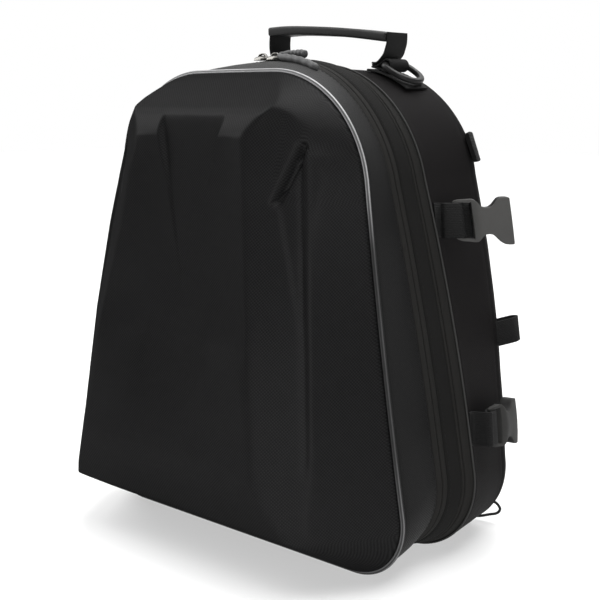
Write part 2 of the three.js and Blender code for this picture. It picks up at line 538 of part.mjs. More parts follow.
// -- webbing loops and tabs on the rounded rear edge, drawn in plan
function rearEdge(z, angle_deg, off) {          // point on the rear rounding in plan, pushed out by a distance
  const a = THREE.MathUtils.degToRad(angle_deg);
  const r = REAR_ROUND + off;
  return [sideX(z) - REAR_ROUND + r * Math.cos(a), REAR_Y - REAR_ROUND + r * Math.sin(a)];
}
const LOOP = { z: 160, height: 22, reach: 14.5, half_gap: 5.0 };
const TOP_TAB = { z: 296, height: 25 };
const CORD_LOOP = [[130.8, 148.2, 29.6], [135.0, 149.8, 28.8], [139.6, 150.4, 27.4], [142.6, 150.6, 23.6], [140.2, 150.0, 19.6], [133.6, 148.6, 17.2], [127.2, 147.0, 14.9], [123.2, 145.4, 14.3]];   // small loop out of the low rear corner
for (const [side, s] of [['left', -1], ['right', 1]]) {
  const [bx, by] = rearEdge(LOOP.z + LOOP.height / 2, 30, 2.4);
  const dir = new THREE.Vector2(Math.cos(0.62), Math.sin(0.62));
  const nrm = new THREE.Vector2(-dir.y, dir.x);
  const at = (u, v) => new THREE.Vector2(s * (bx + dir.x * u + nrm.x * v), by + dir.y * u + nrm.y * v);
  const g = LOOP.half_gap + WEBBING_T / 2;
  const route = [at(0.6, -g), at(LOOP.reach - 5, -g), at(LOOP.reach - 1.2, -g * 0.62), at(LOOP.reach, 0), at(LOOP.reach - 1.2, g * 0.62), at(LOOP.reach - 5, g), at(0.6, g)];
  add(`side_loop_${side}`, upright(route, WEBBING_T, LOOP.z, LOOP.height, s), MAT.webbing);
  const tab = [8, 24, 40, 56].map((a) => rearEdge(TOP_TAB.z + TOP_TAB.height / 2, a, 4.4)).map(([x, y]) => new THREE.Vector2(s * x, y));
  add(`top_tab_${side}`, upright(tab, 2.4, TOP_TAB.z, TOP_TAB.height, s), MAT.webbing);
  const cr = CORD_LOOP.map(([x, y, z]) => [s * x, y, z]);
  add(`cord_loop_${side}`, cord(cr, 1.1, 4, 10), MAT.webbing);
}

// -- plain padded shoulder straps, lying flat on the back
const STRAP_ROWS = [                            // height, centre, half width
  { z: 326, x: 46, half: 24 }, { z: 285, x: 54, half: 29 }, { z: 225, x: 70, half: 29 },
  { z: 165, x: 82, half: 26 }, { z: 115, x: 90, half: 19 }, { z: 90, x: 94, half: 13 }, { z: 62, x: 99, half: 12.5 },
];
const SHOULDER_T = 13;
for (const [side, s] of [['left', -1], ['right', 1]]) {
  const edge = (k) => STRAP_ROWS.map((r) => new THREE.Vector2(s * (r.x + k * r.half), r.z));
  const shape = new THREE.Shape(edge(1).concat(edge(-1).reverse()));
  add(`shoulder_strap_${side}`, acrossY(shape, REAR_Y + GAP, SHOULDER_T), MAT.back);
}

export default bag;
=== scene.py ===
# Motorcycle backpack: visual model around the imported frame.
# Lengths below are millimetres in a design frame (piping plane at y = 0); they become metres in the row frame at the end.
import math

import bmesh
import bpy
import numpy as np
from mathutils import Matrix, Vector, noise


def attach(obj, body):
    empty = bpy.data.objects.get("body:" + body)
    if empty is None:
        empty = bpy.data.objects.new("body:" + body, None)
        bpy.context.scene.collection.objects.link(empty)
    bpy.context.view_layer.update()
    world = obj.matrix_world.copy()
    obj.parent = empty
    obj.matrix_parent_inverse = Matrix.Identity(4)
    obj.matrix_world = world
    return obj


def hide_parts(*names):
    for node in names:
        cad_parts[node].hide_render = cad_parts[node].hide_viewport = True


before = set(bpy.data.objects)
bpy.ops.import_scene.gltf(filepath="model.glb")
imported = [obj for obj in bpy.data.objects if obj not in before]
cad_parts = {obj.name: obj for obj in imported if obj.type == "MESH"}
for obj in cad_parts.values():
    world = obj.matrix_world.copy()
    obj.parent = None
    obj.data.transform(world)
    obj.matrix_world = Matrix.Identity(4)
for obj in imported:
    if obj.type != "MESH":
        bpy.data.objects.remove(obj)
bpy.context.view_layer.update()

ORIGIN = np.array([0.0, 41.55, 11.0])
BAG = "bag"

# ------------------------------------------------------------------ camera
camera_data = bpy.data.cameras.new("photo_camera")
camera_data.sensor_width = 36.0
camera_data.lens = 67.41
camera_data.clip_start, camera_data.clip_end = 0.01, 60.0
camera = bpy.data.objects.new("photo_camera", camera_data)
camera.location = (0.5964, -0.63385, 0.3320)
camera.rotation_euler = (math.radians(90 - 9.938), 0.0, math.radians(42.0))
bpy.context.scene.collection.objects.link(camera)
bpy.context.scene.camera = camera

# ------------------------------------------------------------------ driving tables
KEYS = ("y", "half_bottom", "half_top", "z_bottom", "z_top", "r_bottom", "r_top", "crown", "belly")
SECTIONS = {
    "piping":  (0, 165.0, 112.9, 13.0, 364.2, 42.0, 85.0, 1.4, -1.5),
    "zip_in":  (43, 168.6, 93.0, 15.5, 367.0, 53.5, 104.0, 7.4, 2.7),
    "zip_out": (53, 171.8, 94.0, 15.0, 366.5, 54.5, 103.0, 9.0, 2.9),
    "exp_out": (65, 176.5, 96.5, 13.5, 365.0, 56.0, 100.0, 10.0, 3.2),
    "rear_in": (75, 181.5, 99.5, 12.0, 363.4, 57.0, 96.0, 7.0, 3.6),
    "back":    (75, 182.5, 100.0, 11.0, 363.3, 57.0, 95.5, 6.4, 3.6),
    "rear":    (125, 166.5, 110.2, 11.0, 364.5, 53.0, 87.0, 4.0, 4.8),
}
FRONT_ROWS = [SECTIONS[k] for k in ("piping", "zip_in", "zip_out", "exp_out", "rear_in")]
REAR_ROWS = [SECTIONS[k] for k in ("back", "rear")]
REAR_ROUND = 26.0
REAR_Y = 153.0
RUN = (26, 30, 60, 64, 26)      # points on bottom, low corner, side, high corner, top of the half outline

# shell relief by height: z, fold x, fold depth, slope, flank
RELIEF = np.array([
    (10, 130, 57, 0.80, 1.85), (60, 126, 57, 0.78, 1.72), (96, 119.25, 55.1, 0.764, 1.79), (142, 112.3, 51.7, 0.747, 1.80), (164, 109.2, 49.8, 0.75, 1.80),
    (183, 106.6, 48.1, 0.71, 1.79), (207, 103.2, 44.9, 0.65, 1.68), (230, 99.9, 41.8, 0.62, 1.58), (251, 96.9, 38.9, 0.59, 1.48), (273, 93.5, 35.4, 0.61, 1.37),
    (295, 89.9, 32.0, 0.66, 1.26), (308, 88, 30, 0.645, 1.20), (321, 85, 29.8, 0.60, 1.50), (330, 83, 29.5, 0.62, 1.75), (347, 76, 29, 0.85, 2.30), (380, 64, 28, 0.90, 2.40),
])
FOLD_HALF = np.array([(8, 94), (60, 93), (96, 89.8), (119, 86.4), (142, 83.3), (164, 80.5), (183, 77.4), (207, 73), (230, 69), (251, 65.3), (273, 62), (295, 60), (321, 52.8), (345, 48)])
FACE_FOLD = np.array([(8, 50), (30, 59.6), (46, 66.2), (58, 70.8), (68, 74.3), (76, 76.6), (83, 77.9), (90, 78.4), (97, 78.1), (107, 77.0), (119, 75.4), (142, 73.4), (164, 71.4), (183, 68.9), (207, 64.6), (230, 61), (251, 57.6), (273, 54.8), (295, 52.6), (321, 48.0), (345, 45)])
FACE_MID = np.array([(8, 50), (30, 59.6), (46, 66.4), (58, 71.3), (68, 75.0), (76, 77.5), (83, 79.2), (90, 80.0), (97, 79.8), (105, 78.4), (113, 76.6), (122, 74.5), (149, 67.5), (180, 60.3), (198, 56.6), (214, 54.4), (240, 52.0), (260, 50.2), (287, 48.0), (321, 47.4), (345, 45)])
SCOOP_FLOOR = np.array([(200, 55.6), (214.4, 54.2), (335, 40.3), (350, 38.5)])
SCOOP = dict(tip_z=209.0, top_z=321.0, half_top=31.0)
BEVEL_LINE = np.array([(200, 330), (300, 80), (316, 55.5), (322, 47.5), (328, 44.4), (335, 40.3), (340, 35.4), (352, 21.0), (368.5, 0.0), (380, -14)])
BEVEL = dict(half_low=53.0, low_z=315.0, spread=0.62, wall=2.0)
GROOVE = np.array([(312, 91.0), (247, 101.5), (182, 110.5), (109, 118.6), (95, 119.6)])   # z, x of the fine fold line
SLASH = np.array([(91.2, 314.0), (81.0, 277.0)])                                       # x, z ends of the cut recess
BLADE = np.array([(277, 81.0), (240, 92.0), (194, 104.6), (184, 110.0)])                # z, x of the blade's inner edge


# ------------------------------------------------------------------ outlines
def row_at(y, rows=None):
    rows = FRONT_ROWS if rows is None else rows
    ys = [r[0] for r in rows]
    return dict(zip(KEYS, [float(np.interp(y, ys, [r[i] for r in rows])) for i in range(len(KEYS))]))


def half_outline(r):
    corner = [np.array(p, float) for p in ((0, r["z_bottom"]), (r["half_bottom"], r["z_bottom"]), (r["half_top"], r["z_top"]), (0, r["z_top"]))]
    arcs = []
    for i, radius, n in ((1, r["r_bottom"], RUN[1]), (2, r["r_top"], RUN[3])):
        p0, p1, p2 = corner[i - 1], corner[i], corner[i + 1]
        d0, d1 = (p0 - p1) / np.linalg.norm(p0 - p1), (p2 - p1) / np.linalg.norm(p2 - p1)
        half = math.acos(float(np.clip(d0 @ d1, -1, 1))) / 2
        bis = (d0 + d1) / np.linalg.norm(d0 + d1)
        centre = p1 + bis * radius / math.sin(half)
        s = p1 + d0 * radius / math.tan(half) - centre
        t = np.linspace(0, math.pi - 2 * half, n + 1)
        arcs.append(np.stack([s[0] * np.cos(t) - s[1] * np.sin(t), s[0] * np.sin(t) + s[1] * np.cos(t)], 1) + centre)
    low, high = arcs
    bottom = np.stack([np.linspace(0, low[0, 0], RUN[0] + 1)[:-1], np.full(RUN[0], r["z_bottom"])], 1)
    a, b = low[-1], high[0]
    t = np.linspace(0, 1, RUN[2] + 1)[1:-1, None]
    out = np.array([b[1] - a[1], a[0] - b[0]])
    out /= np.linalg.norm(out)
    side = a + (b - a) * t + out * r["belly"] * 4 * t * (1 - t)

    def crown(x):
        return r["crown"] * (1 - np.minimum(1, np.abs(x) / high[0, 0]) ** 2)

    upper = high.copy()
    upper[:, 1] += crown(high[:, 0])
    x = high[-1, 0] * (1 - np.linspace(0, 1, RUN[4] + 1)[1:])
    top = np.stack([x, r["z_top"] + crown(x)], 1)
    return np.vstack([bottom, low, side, upper, top])


def outline(row, out=0.0):
    right = half_outline(row)
    left = right[1:-1][::-1] * np.array([-1, 1])
    loop = np.vstack([right, left])
    return loop if out == 0 else offset(loop, out)


def normals2(loop):
    d = np.roll(loop, -1, 0) - np.roll(loop, 1, 0)
    d /= np.linalg.norm(d, axis=1, keepdims=True)
    return np.stack([d[:, 1], -d[:, 0]], 1)


def offset(loop, out):
    return loop + normals2(loop) * out


def perimeter(loop):
    step = np.linalg.norm(np.roll(loop, -1, 0) - loop, axis=1)
    return np.concatenate([[0], np.cumsum(step)])


def resample(loop, n):
    s = perimeter(loop)
    closed = np.vstack([loop, loop[:1]])
    at = np.linspace(0, s[-1], n + 1)[:-1]
    return np.stack([np.interp(at, s, closed[:, k]) for k in range(loop.shape[1])], 1)


def lift(loop, y):
    return np.stack([loop[:, 0], np.full(len(loop), y) if np.isscalar(y) else y, loop[:, 1]], 1)


def height_on_top(x, y):
    """Upper surface of the back section at (x, y)."""
    h = half_outline(row_at(y, REAR_ROWS))
    k = h[:, 1] > 200
    p = h[k][::-1]
    return float(np.interp(abs(x), p[:, 0], p[:, 1]))


def height_on_zip(x, y):
    h = half_outline(row_at(y))
    p = h[h[:, 1] > 200][::-1]
    return float(np.interp(abs(x), p[:, 0], p[:, 1]))


def side_at(z, y):
    """Outer side of the back section at a height and depth."""
    h = half_outline(row_at(y, REAR_ROWS))
    i = int(np.argmax(h[:, 0]))
    p = h[i:]
    k = p[:, 1] >= p[0, 1]
    return float(np.interp(z, p[k][:, 1], p[k][:, 0]))


# ------------------------------------------------------------------ mesh helpers
def to_row(points):
    return (np.asarray(points, float) - ORIGIN) / 1000.0


def make(name, verts, faces, materials, uv=None, face_mat=None, body=BAG, stands_for=(), slot=None, sharp=None, merge=False):
    me = bpy.data.meshes.new(name)
    me.from_pydata(to_row(verts).tolist(), [], [tuple(int(i) for i in f) for f in faces])
    for m in materials if isinstance(materials, (list, tuple)) else [materials]:
        me.materials.append(m)
    if face_mat is not None:
        me.polygons.foreach_set("material_index", np.asarray(face_mat, np.int32))
    if uv is not None:
        layer = me.uv_layers.new(name="cloth")
        layer.data.foreach_set("uv", np.asarray(uv, np.float32).ravel())
    bm = bmesh.new()
    bm.from_mesh(me)
    if merge:
        bmesh.ops.remove_doubles(bm, verts=bm.verts, dist=1e-7)
    bmesh.ops.recalc_face_normals(bm, faces=bm.faces)
    bm.to_mesh(me)
    bm.free()
    me.shade_smooth()
    if sharp is not None:
        me.set_sharp_from_angle(angle=math.radians(sharp))
    obj = bpy.data.objects.new(name, me)
    bpy.context.scene.collection.objects.link(obj)
    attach(obj, body)
    if stands_for:
        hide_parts(*stands_for)
    return obj


def grid(rings, close_u=True, close_v=False, u=None, v=None, cap=False):
    """Quads between equal rings. u has one more column than the rings where the rings are closed."""
    rings = np.asarray(rings, float)
    R, N = rings.shape[:2]
    cols = N if close_u else N - 1
    rows = R if close_v else R - 1
    faces, uv = [], []
    for i in range(rows):
        i2 = (i + 1) % R
        for j in range(cols):
            j2 = (j + 1) % N
            faces.append((i * N + j, i * N + j2, i2 * N + j2, i2 * N + j))
            if u is not None:
                uv.extend(((u[i][j], v[i][j]), (u[i][j + 1], v[i][j + 1]), (u[i2][j + 1], v[i + 1][j + 1]), (u[i2][j], v[i + 1][j])))
    verts = rings.reshape(-1, 3)
    if cap:
        for base, rev in ((0, True), ((R - 1) * N, False)):
            f = [base + j for j in range(N)]
            faces.append(tuple(f[::-1] if rev else f))
            if u is not None:
                uv.extend([(0.0, 0.0)] * N)
    return verts, faces, uv


class Heap:
    """Collects small closed meshes into one."""

    def __init__(self):
        self.v, self.f, self.uv, self.n = [], [], [], 0

    def add(self, verts, faces, uv=None):
        verts = np.asarray(verts, float)
        self.v.append(verts)
        self.f.extend([tuple(i + self.n for i in f) for f in faces])
        if uv is not None:
            self.uv.extend(uv)
        self.n += len(verts)

    def make(self, name, material, **kw):
        return make(name, np.vstack(self.v), self.f, material, uv=self.uv if self.uv else None, **kw)


def unit(a):
    a = np.asarray(a, float)
    return a / np.maximum(np.linalg.norm(a, axis=-1, keepdims=True), 1e-9)


def spline(points, n, closed=False):
    """Catmull-Rom curve through the points, n samples at even arc length."""
    p = np.asarray(points, float)
    k = len(p)
    if closed:
        ext = np.vstack([p[-1:], p, p[:2]])
        spans = k
    else:
        ext = np.vstack([2 * p[:1] - p[1:2], p, 2 * p[-1:] - p[-2:-1]])
        spans = k - 1
    out = []
    t = np.linspace(0, 1, 24, endpoint=False)[:, None]
    for i in range(spans):
        a, b, c, d = ext[i:i + 4]
        out.append(0.5 * (2 * b + (c - a) * t + (2 * a - 5 * b + 4 * c - d) * t ** 2 + (3 * b - a - 3 * c + d) * t ** 3))
    out = np.vstack(out + [p[:1] if closed else p[-1:]])
    s = np.concatenate([[0], np.cumsum(np.linalg.norm(np.diff(out, axis=0), axis=1))])
    at = np.linspace(0, s[-1], n + (1 if closed else 0))
    res = np.stack([np.interp(at, s, out[:, j]) for j in range(p.shape[1])], 1)
    return res[:-1] if closed else res


def rounded(width, thick, radius, n=3):
    """Rounded rectangle in (side, normal), counter-clockwise."""
    pts = []
    for cx, cy, a0 in ((width / 2 - radius, -thick / 2 + radius, -90), (width / 2 - radius, thick / 2 - radius, 0),
                       (-width / 2 + radius, thick / 2 - radius, 90), (-width / 2 + radius, -thick / 2 + radius, 180)):
        for k in range(n + 1):
            a = math.radians(a0 + 90 * k / n)
            pts.append((cx + radius * math.cos(a), cy + radius * math.sin(a)))
    return np.array(pts)


def circle(radius, n):
    a = np.linspace(0, 2 * math.pi, n, endpoint=False)
    return np.stack([radius * np.cos(a), radius * np.sin(a)], 1)


def sweep(path, side, section, closed=False, scale=None, bulge=None):
    """Section (side, normal) carried along a path; side is one direction or one per point."""
    path = np.asarray(path, float)
    n = len(path)
    tangent = np.roll(path, -1, 0) - np.roll(path, 1, 0) if closed else np.gradient(path, axis=0)
    tangent = unit(tangent)
    side = np.broadcast_to(np.asarray(side, float), path.shape)
    side = unit(side - tangent * np.sum(side * tangent, axis=1, keepdims=True))
    normal = np.cross(tangent, side)
    sec = np.broadcast_to(section, (n,) + section.shape).copy()
    if scale is not None:
        sec *= np.asarray(scale, float).reshape(n, 1, -1)
    rings = path[:, None] + sec[:, :, :1] * side[:, None] + sec[:, :, 1:] * normal[:, None]
    s = np.concatenate([[0], np.cumsum(np.linalg.norm(np.diff(np.vstack([path, path[:1]]) if closed else path, axis=0), axis=1))])
    around = np.concatenate([[0], np.cumsum(np.linalg.norm(np.roll(section, -1, 0) - section, axis=1))])
    R = n + 1 if closed else n
    u = np.repeat(s[:R, None], len(section) + 1, 1)
    v = np.repeat(around[None], R, 0)
    if closed:
        # the last ring meets the first, so UVs carry one more row than the rings
        faces, uv = [], []
        N = len(section)
        for i in range(n):
            i2 = (i + 1) % n
            for j in range(N):
                j2 = (j + 1) % N
                faces.append((i * N + j, i * N + j2, i2 * N + j2, i2 * N + j))
                uv.extend(((u[i][j], v[i][j]), (u[i][j + 1], v[i][j + 1]), (u[i + 1][j + 1], v[i][j + 1]), (u[i + 1][j], v[i][j])))
        return rings.reshape(-1, 3), faces, uv
    faces, uv = [], []
    N = len(section)
    for i in range(n - 1):
        for j in range(N):
            j2 = (j + 1) % N
            faces.append((i * N + j, i * N + j2, (i + 1) * N + j2, (i + 1) * N + j))
            uv.extend(((u[i][j], v[i][j]), (u[i][j + 1], v[i][j + 1]), (u[i + 1][j + 1], v[i + 1][j + 1]), (u[i + 1][j], v[i + 1][j])))
    for base, rev in ((0, True), ((n - 1) * N, False)):
        f = [base + j for j in range(N)]
        faces.append(tuple(f[::-1] if rev else f))
        uv.extend([(0.0, 0.0)] * N)
    return rings.reshape(-1, 3), faces, uv


def stitches(heap, path, normal, length=2.4, gap=1.3, radius=0.3, sink=0.05):
    """A run of thread stitches along a path lying on a surface."""
    path = np.asarray(path, float)
    seg = np.linalg.norm(np.diff(path, axis=0), axis=1)
    s = np.concatenate([[0], np.cumsum(seg)])
    nrm = np.broadcast_to(np.asarray(normal, float), path.shape)
    count = int(s[-1] // (length + gap))
    if count < 1:
        return
    lead = (s[-1] - count * (length + gap) + gap) / 2
    ring = circle(1.0, 6)

    def at(d, arr):
        return np.stack([np.interp(d, s, arr[:, k]) for k in range(3)], -1)

    for i in range(count):
        d0 = lead + i * (length + gap)
        ds = d0 + np.array([0.0, 0.18, 0.82, 1.0]) * length
        p = at(ds, path)
        nn = unit(at(ds, nrm))
        t = unit(np.broadcast_to(p[-1] - p[0], p.shape))
        side = unit(np.cross(t, nn))
        r = np.array([0.45, 1.0, 1.0, 0.45]) * radius
        lift_by = np.array([-0.5, 0.4, 0.4, -0.5]) * radius - sink
        rings = p[:, None] + nn[:, None] * lift_by[:, None, None] + (side[:, None] * ring[None, :, :1] + nn[:, None] * ring[None, :, 1:]) * r[:, None, None]
        v, f, uv = grid(rings, cap=True, u=np.zeros((4, 7)), v=np.zeros((4, 7)))
        heap.add(v, f, uv)


def belt(name, section, material, stands_for=(), slot=None, rows=None, face_mat=None):
    """Closed band around the bag; the section is a closed run of (y, out) points."""
    loops = [outline(row_at(y, rows), out) for y, out in section]
    rings = np.array([lift(l, y) for l, (y, _) in zip(loops, section)])
    per = np.array([perimeter(l) for l in loops])
    across = np.concatenate([[0], np.cumsum([math.hypot(section[(i + 1) % len(section)][0] - section[i][0], section[(i + 1) % len(section)][1] - section[i][1]) for i in range(len(section))])])
    v = np.repeat(across[:, None], rings.shape[1] + 1, 1)
    verts, faces, uv = grid(rings, close_v=True, u=per, v=v)
    return make(name, verts, faces, material, uv=uv, stands_for=stands_for, slot=slot)


# ------------------------------------------------------------------ materials
class E:
    """Arithmetic on shader sockets."""

    def __init__(self, net, socket):
        self.net, self.socket = net, socket

    def op(self, kind, *args):
        n = self.net.tree.nodes.new("ShaderNodeMath")
        n.operation = kind
        for i, a in enumerate((self,) + args):
            self.net.feed(n.inputs[i], a)
        return E(self.net, n.outputs[0])

    def __add__(self, o):
        return self.op("ADD", o)

    __radd__ = __add__

    def __sub__(self, o):
        return self.op("SUBTRACT", o)

    def __rsub__(self, o):
        return (self * -1.0) + o

    def __mul__(self, o):
        return self.op("MULTIPLY", o)

    __rmul__ = __mul__

    def __truediv__(self, o):
        return self.op("DIVIDE", o)

    def sin(self):
        return self.op("SINE")

    def abs(self):
        return self.op("ABSOLUTE")

    def floor(self):
        return self.op("FLOOR")

    def fract(self):
        return self.op("FRACT")

    def above(self, o):
        return self.op("GREATER_THAN", o)

    def smaller(self, o):
        return self.op("MINIMUM", o)

    def larger(self, o):
        return self.op("MAXIMUM", o)

    def power(self, o):
        return self.op("POWER", o)

    def mix(self, a, b):
        return (1.0 - self) * a + self * b

    def ramp(self, lo, hi, a=0.0, b=1.0):
        n = self.net.tree.nodes.new("ShaderNodeMapRange")
        n.interpolation_type = "SMOOTHSTEP"
        n.clamp = True
        for k, val in zip((0, 1, 2, 3, 4), (self, lo, hi, a, b)):
            self.net.feed(n.inputs[k], val)
        return E(self.net, n.outputs[0])


class Net:
    def __init__(self, name, **sockets):
        self.mat = bpy.data.materials.new(name)
        self.mat.use_nodes = True
        self.tree = self.mat.node_tree
        self.tree.nodes.clear()
        self.out = self.tree.nodes.new("ShaderNodeOutputMaterial")
        self.bsdf = self.tree.nodes.new("ShaderNodeBsdfPrincipled")
        self.tree.links.new(self.bsdf.outputs[0], self.out.inputs[0])
        for k, val in sockets.items():
            self.set(k.replace("_", " "), val)

    def feed(self, socket, value):
        if isinstance(value, E):
            self.tree.links.new(value.socket, socket)
        else:
            socket.default_value = value

    def set(self, name, value):
        s = self.bsdf.inputs[name]
        if isinstance(value, (tuple, list)):
            s.default_value = tuple(value) + (1.0,) * (4 - len(value)) if len(s.default_value) == 4 else tuple(value)
        else:
            self.feed(s, value)

    def uv(self):
        n = self.tree.nodes.new("ShaderNodeUVMap")
        n.uv_map = "cloth"
        x = self.tree.nodes.new("ShaderNodeSeparateXYZ")
        self.tree.links.new(n.outputs[0], x.inputs[0])
        return E(self, x.outputs[0]), E(self, x.outputs[1])

    def place(self):
        n = self.tree.nodes.new("ShaderNodeTexCoord")
        return n.outputs["Object"]

    def height(self):
        x = self.tree.nodes.new("ShaderNodeSeparateXYZ")
        self.tree.links.new(self.place(), x.inputs[0])
        return E(self, x.outputs[2])

    def noise(self, scale, detail=3.0, rough=0.55, vector=None):
        n = self.tree.nodes.new("ShaderNodeTexNoise")
        n.inputs["Scale"].default_value = scale
        n.inputs["Detail"].default_value = detail
        n.inputs["Roughness"].default_value = rough
        self.tree.links.new(self.place() if vector is None else vector, n.inputs["Vector"])
        return E(self, n.outputs["Fac"])

    def colour(self, factor, low, high):
        n = self.tree.nodes.new("ShaderNodeMix")
        n.data_type = "RGBA"
        self.feed(n.inputs[0], factor)
        n.inputs[6].default_value = tuple(low) + (1.0,)
        n.inputs[7].default_value = tuple(high) + (1.0,)
        self.tree.links.new(n.outputs[2], self.bsdf.inputs["Base Color"])
        return n

    def bump(self, height, distance_mm, strength=1.0):
        n = self.tree.nodes.new("ShaderNodeBump")
        n.inputs["Strength"].default_value = strength
        n.inputs["Distance"].default_value = distance_mm / 1000.0
        self.feed(n.inputs["Height"], height)
        self.tree.links.new(n.outputs[0], self.bsdf.inputs["Normal"])
        return n


TWO_PI = 2 * math.pi


def plain(u, v, thread):
    a, b = u / thread, v / thread
    top = ((a.floor() + b.floor()) / 2.0).fract().above(0.49)
    return top.mix((b.fract() * math.pi).sin(), (a.fract() * math.pi).sin()), top


def add_gloss(net, level, rough, bump_node=None):
    """An even gloss laid over the body colour, the same at every angle."""
    g = net.tree.nodes.new("ShaderNodeBsdfAnisotropic")
    g.inputs["Color"].default_value = (level, level, level, 1.0)
    g.inputs["Roughness"].default_value = rough
    if bump_node is not None:
        net.tree.links.new(bump_node.outputs[0], g.inputs["Normal"])
    both = net.tree.nodes.new("ShaderNodeAddShader")
    net.tree.links.new(net.bsdf.outputs[0], both.inputs[0])
    net.tree.links.new(g.outputs[0], both.inputs[1])
    net.tree.links.new(both.outputs[0], net.out.inputs[0])


def mat_shell():
    net = Net("shell_moulded", Roughness=0.5, **{"Specular_IOR_Level": 0.0})
    u, v = net.uv()
    h, top = plain(u, v, 1.15)
    patch = net.noise(9.0, 2.0)
    fine = net.noise(160.0, 3.0)
    net.colour((top * 0.60 + h * 0.25 + (patch - 0.5) * 0.3 + (fine - 0.5) * 0.2), (0.0002, 0.0002, 0.00022), (0.0136, 0.0136, 0.0139))
    add_gloss(net, 0.0078, 0.42, net.bump(h + fine * 0.2, 0.10, 0.6))
    return net.mat


def mat_cloth(name, low, high, thread, rough, bump, spec=0.2, sheen=0.0):
    net = Net(name, Roughness=rough, **{"Specular_IOR_Level": spec})
    u, v = net.uv()
    h, top = plain(u, v, thread)
    patch = net.noise(14.0, 3.0)
    fine = net.noise(420.0, 2.0)
    net.colour(top * 0.35 + patch * 0.4 + fine * 0.3, low, high)
    net.bump(h + fine * 0.5 + patch * 0.6, bump)
    if sheen:
        net.set("Sheen Weight", sheen)
        net.set("Sheen Roughness", 0.5)
    return net.mat


def mat_webbing(name="webbing", low=(0.0045, 0.0045, 0.0045), high=(0.0125, 0.0125, 0.0125)):
    net = Net(name, Roughness=0.72, **{"Specular_IOR_Level": 0.12})
    u, v = net.uv()
    rows = (v / 1.25)
    grain = ((u / 1.9) + rows.floor() * 0.5).fract()
    rib = (rows.fract() * math.pi).sin()
    seed = (grain * math.pi).sin()
    h = rib * 0.6 + seed * rib * 0.5
    fuzz = net.noise(700.0, 2.0)
    net.colour(h * 0.6 + fuzz * 0.4, low, high)
    net.bump(h + fuzz * 0.35, 0.3)
    return net.mat


def mat_plastic(name, low, high, rough, grain=0.12, spec=0.45):
    net = Net(name, **{"Specular_IOR_Level": spec})
    fine = net.noise(1500.0, 2.0)
    broad = net.noise(45.0, 3.0)
    net.colour(broad * 0.7 + fine * 0.3, low, high)
    net.set("Roughness", (broad - 0.5) * 0.14 + rough)
    net.bump(fine, grain, 0.5)
    return net.mat


def mat_rubber(name, low, high, rough=0.6, spec=0.35):
    net = Net(name, **{"Specular_IOR_Level": spec})
    fine = net.noise(900.0, 3.0)
    broad = net.noise(60.0, 2.0)
    net.colour(broad * 0.6 + fine * 0.4, low, high)
    net.set("Roughness", (fine - 0.5) * 0.15 + rough)
    net.bump(fine, 0.15, 0.6)
    return net.mat


def mat_chrome():
    net = Net("slider_chrome", Metallic=1.0, Base_Color=(0.10, 0.097, 0.09))
    fine = net.noise(300.0, 3.0)
    net.set("Roughness", fine * 0.14 + 0.20)
    net.bump(fine, 0.05, 0.4)
    return net.mat


def mat_piping():
    """Black bead carrying a split reflective stripe on the side that faces out and forward."""
    net = Net("piping_reflective", **{"Specular_IOR_Level": 0.25})
    u, v = net.uv()
    grain = net.noise(1800.0, 2.0)
    wear = net.noise(30.0, 4.0)
    off = (v - 10.4).abs()
    z = net.height()
    # painted shade and highlight by height: the reflective stripe is painted brightest near the top, dullest along the
    # middle of the sides and a little brighter near the bottom, standing in for how the light falls on it
    painted_shade_by_height = z.ramp(0.226, 0.292, 0.16, 1.12) + z.ramp(0.040, 0.105, 0.26, 0.0)
    stripe = off.ramp(1.45, 1.8, 1.0, 0.0) * off.ramp(0.45, 0.8, 0.22, 1.0)
    net.colour(stripe * painted_shade_by_height * (wear * 0.5 + grain * 0.2 + 0.45), (0.003, 0.003, 0.003), (0.36, 0.36, 0.365))
    net.set("Roughness", stripe.mix(0.6, 0.42) + wear * 0.08)
    net.set("Metallic", stripe * 0.2)
    rib = ((u / 0.9).fract() * math.pi).sin()
    net.bump(grain + rib * 0.5, 0.08, 0.5)
    return net.mat


SHELL = mat_shell()
PIPING = mat_piping()
GUSSET = mat_cloth("gusset_cloth", (0.0030, 0.0030, 0.00305), (0.0062, 0.0062, 0.0063), 0.9, 0.60, 0.08, 0.15, 0.0)
EXPANDER = mat_cloth("expander_cloth", (0.0072, 0.0071, 0.0069), (0.0134, 0.0132, 0.0128), 0.9, 0.72, 0.10, 0.05, 0.0)
TAPE = mat_cloth("zipper_tape", (0.0110, 0.0107, 0.0102), (0.0205, 0.0199, 0.0190), 0.8, 0.70, 0.12, 0.06, 0.0)
BACK = mat_cloth("back_cloth", (0.0056, 0.0051, 0.0052), (0.0098, 0.0090, 0.0092), 0.9, 0.72, 0.10, 0.05, 0.0)
WEB = mat_webbing()
COIL = mat_plastic("zipper_coil", (0.006, 0.006, 0.006), (0.012, 0.012, 0.012), 0.36, 0.05)
BUCKLE = mat_plastic("buckle_plastic", (0.046, 0.0455, 0.0440), (0.072, 0.0710, 0.0690), 0.50, 0.18, 0.09)
# painted shade: a darker copy of the same buckle plastic for the lower buckles, standing in for the shade they sit in
BUCKLE_PAINTED_SHADE = mat_plastic("buckle_plastic_painted_shade", (0.022, 0.0218, 0.0212), (0.040, 0.0396, 0.0385), 0.50, 0.18, 0.06)
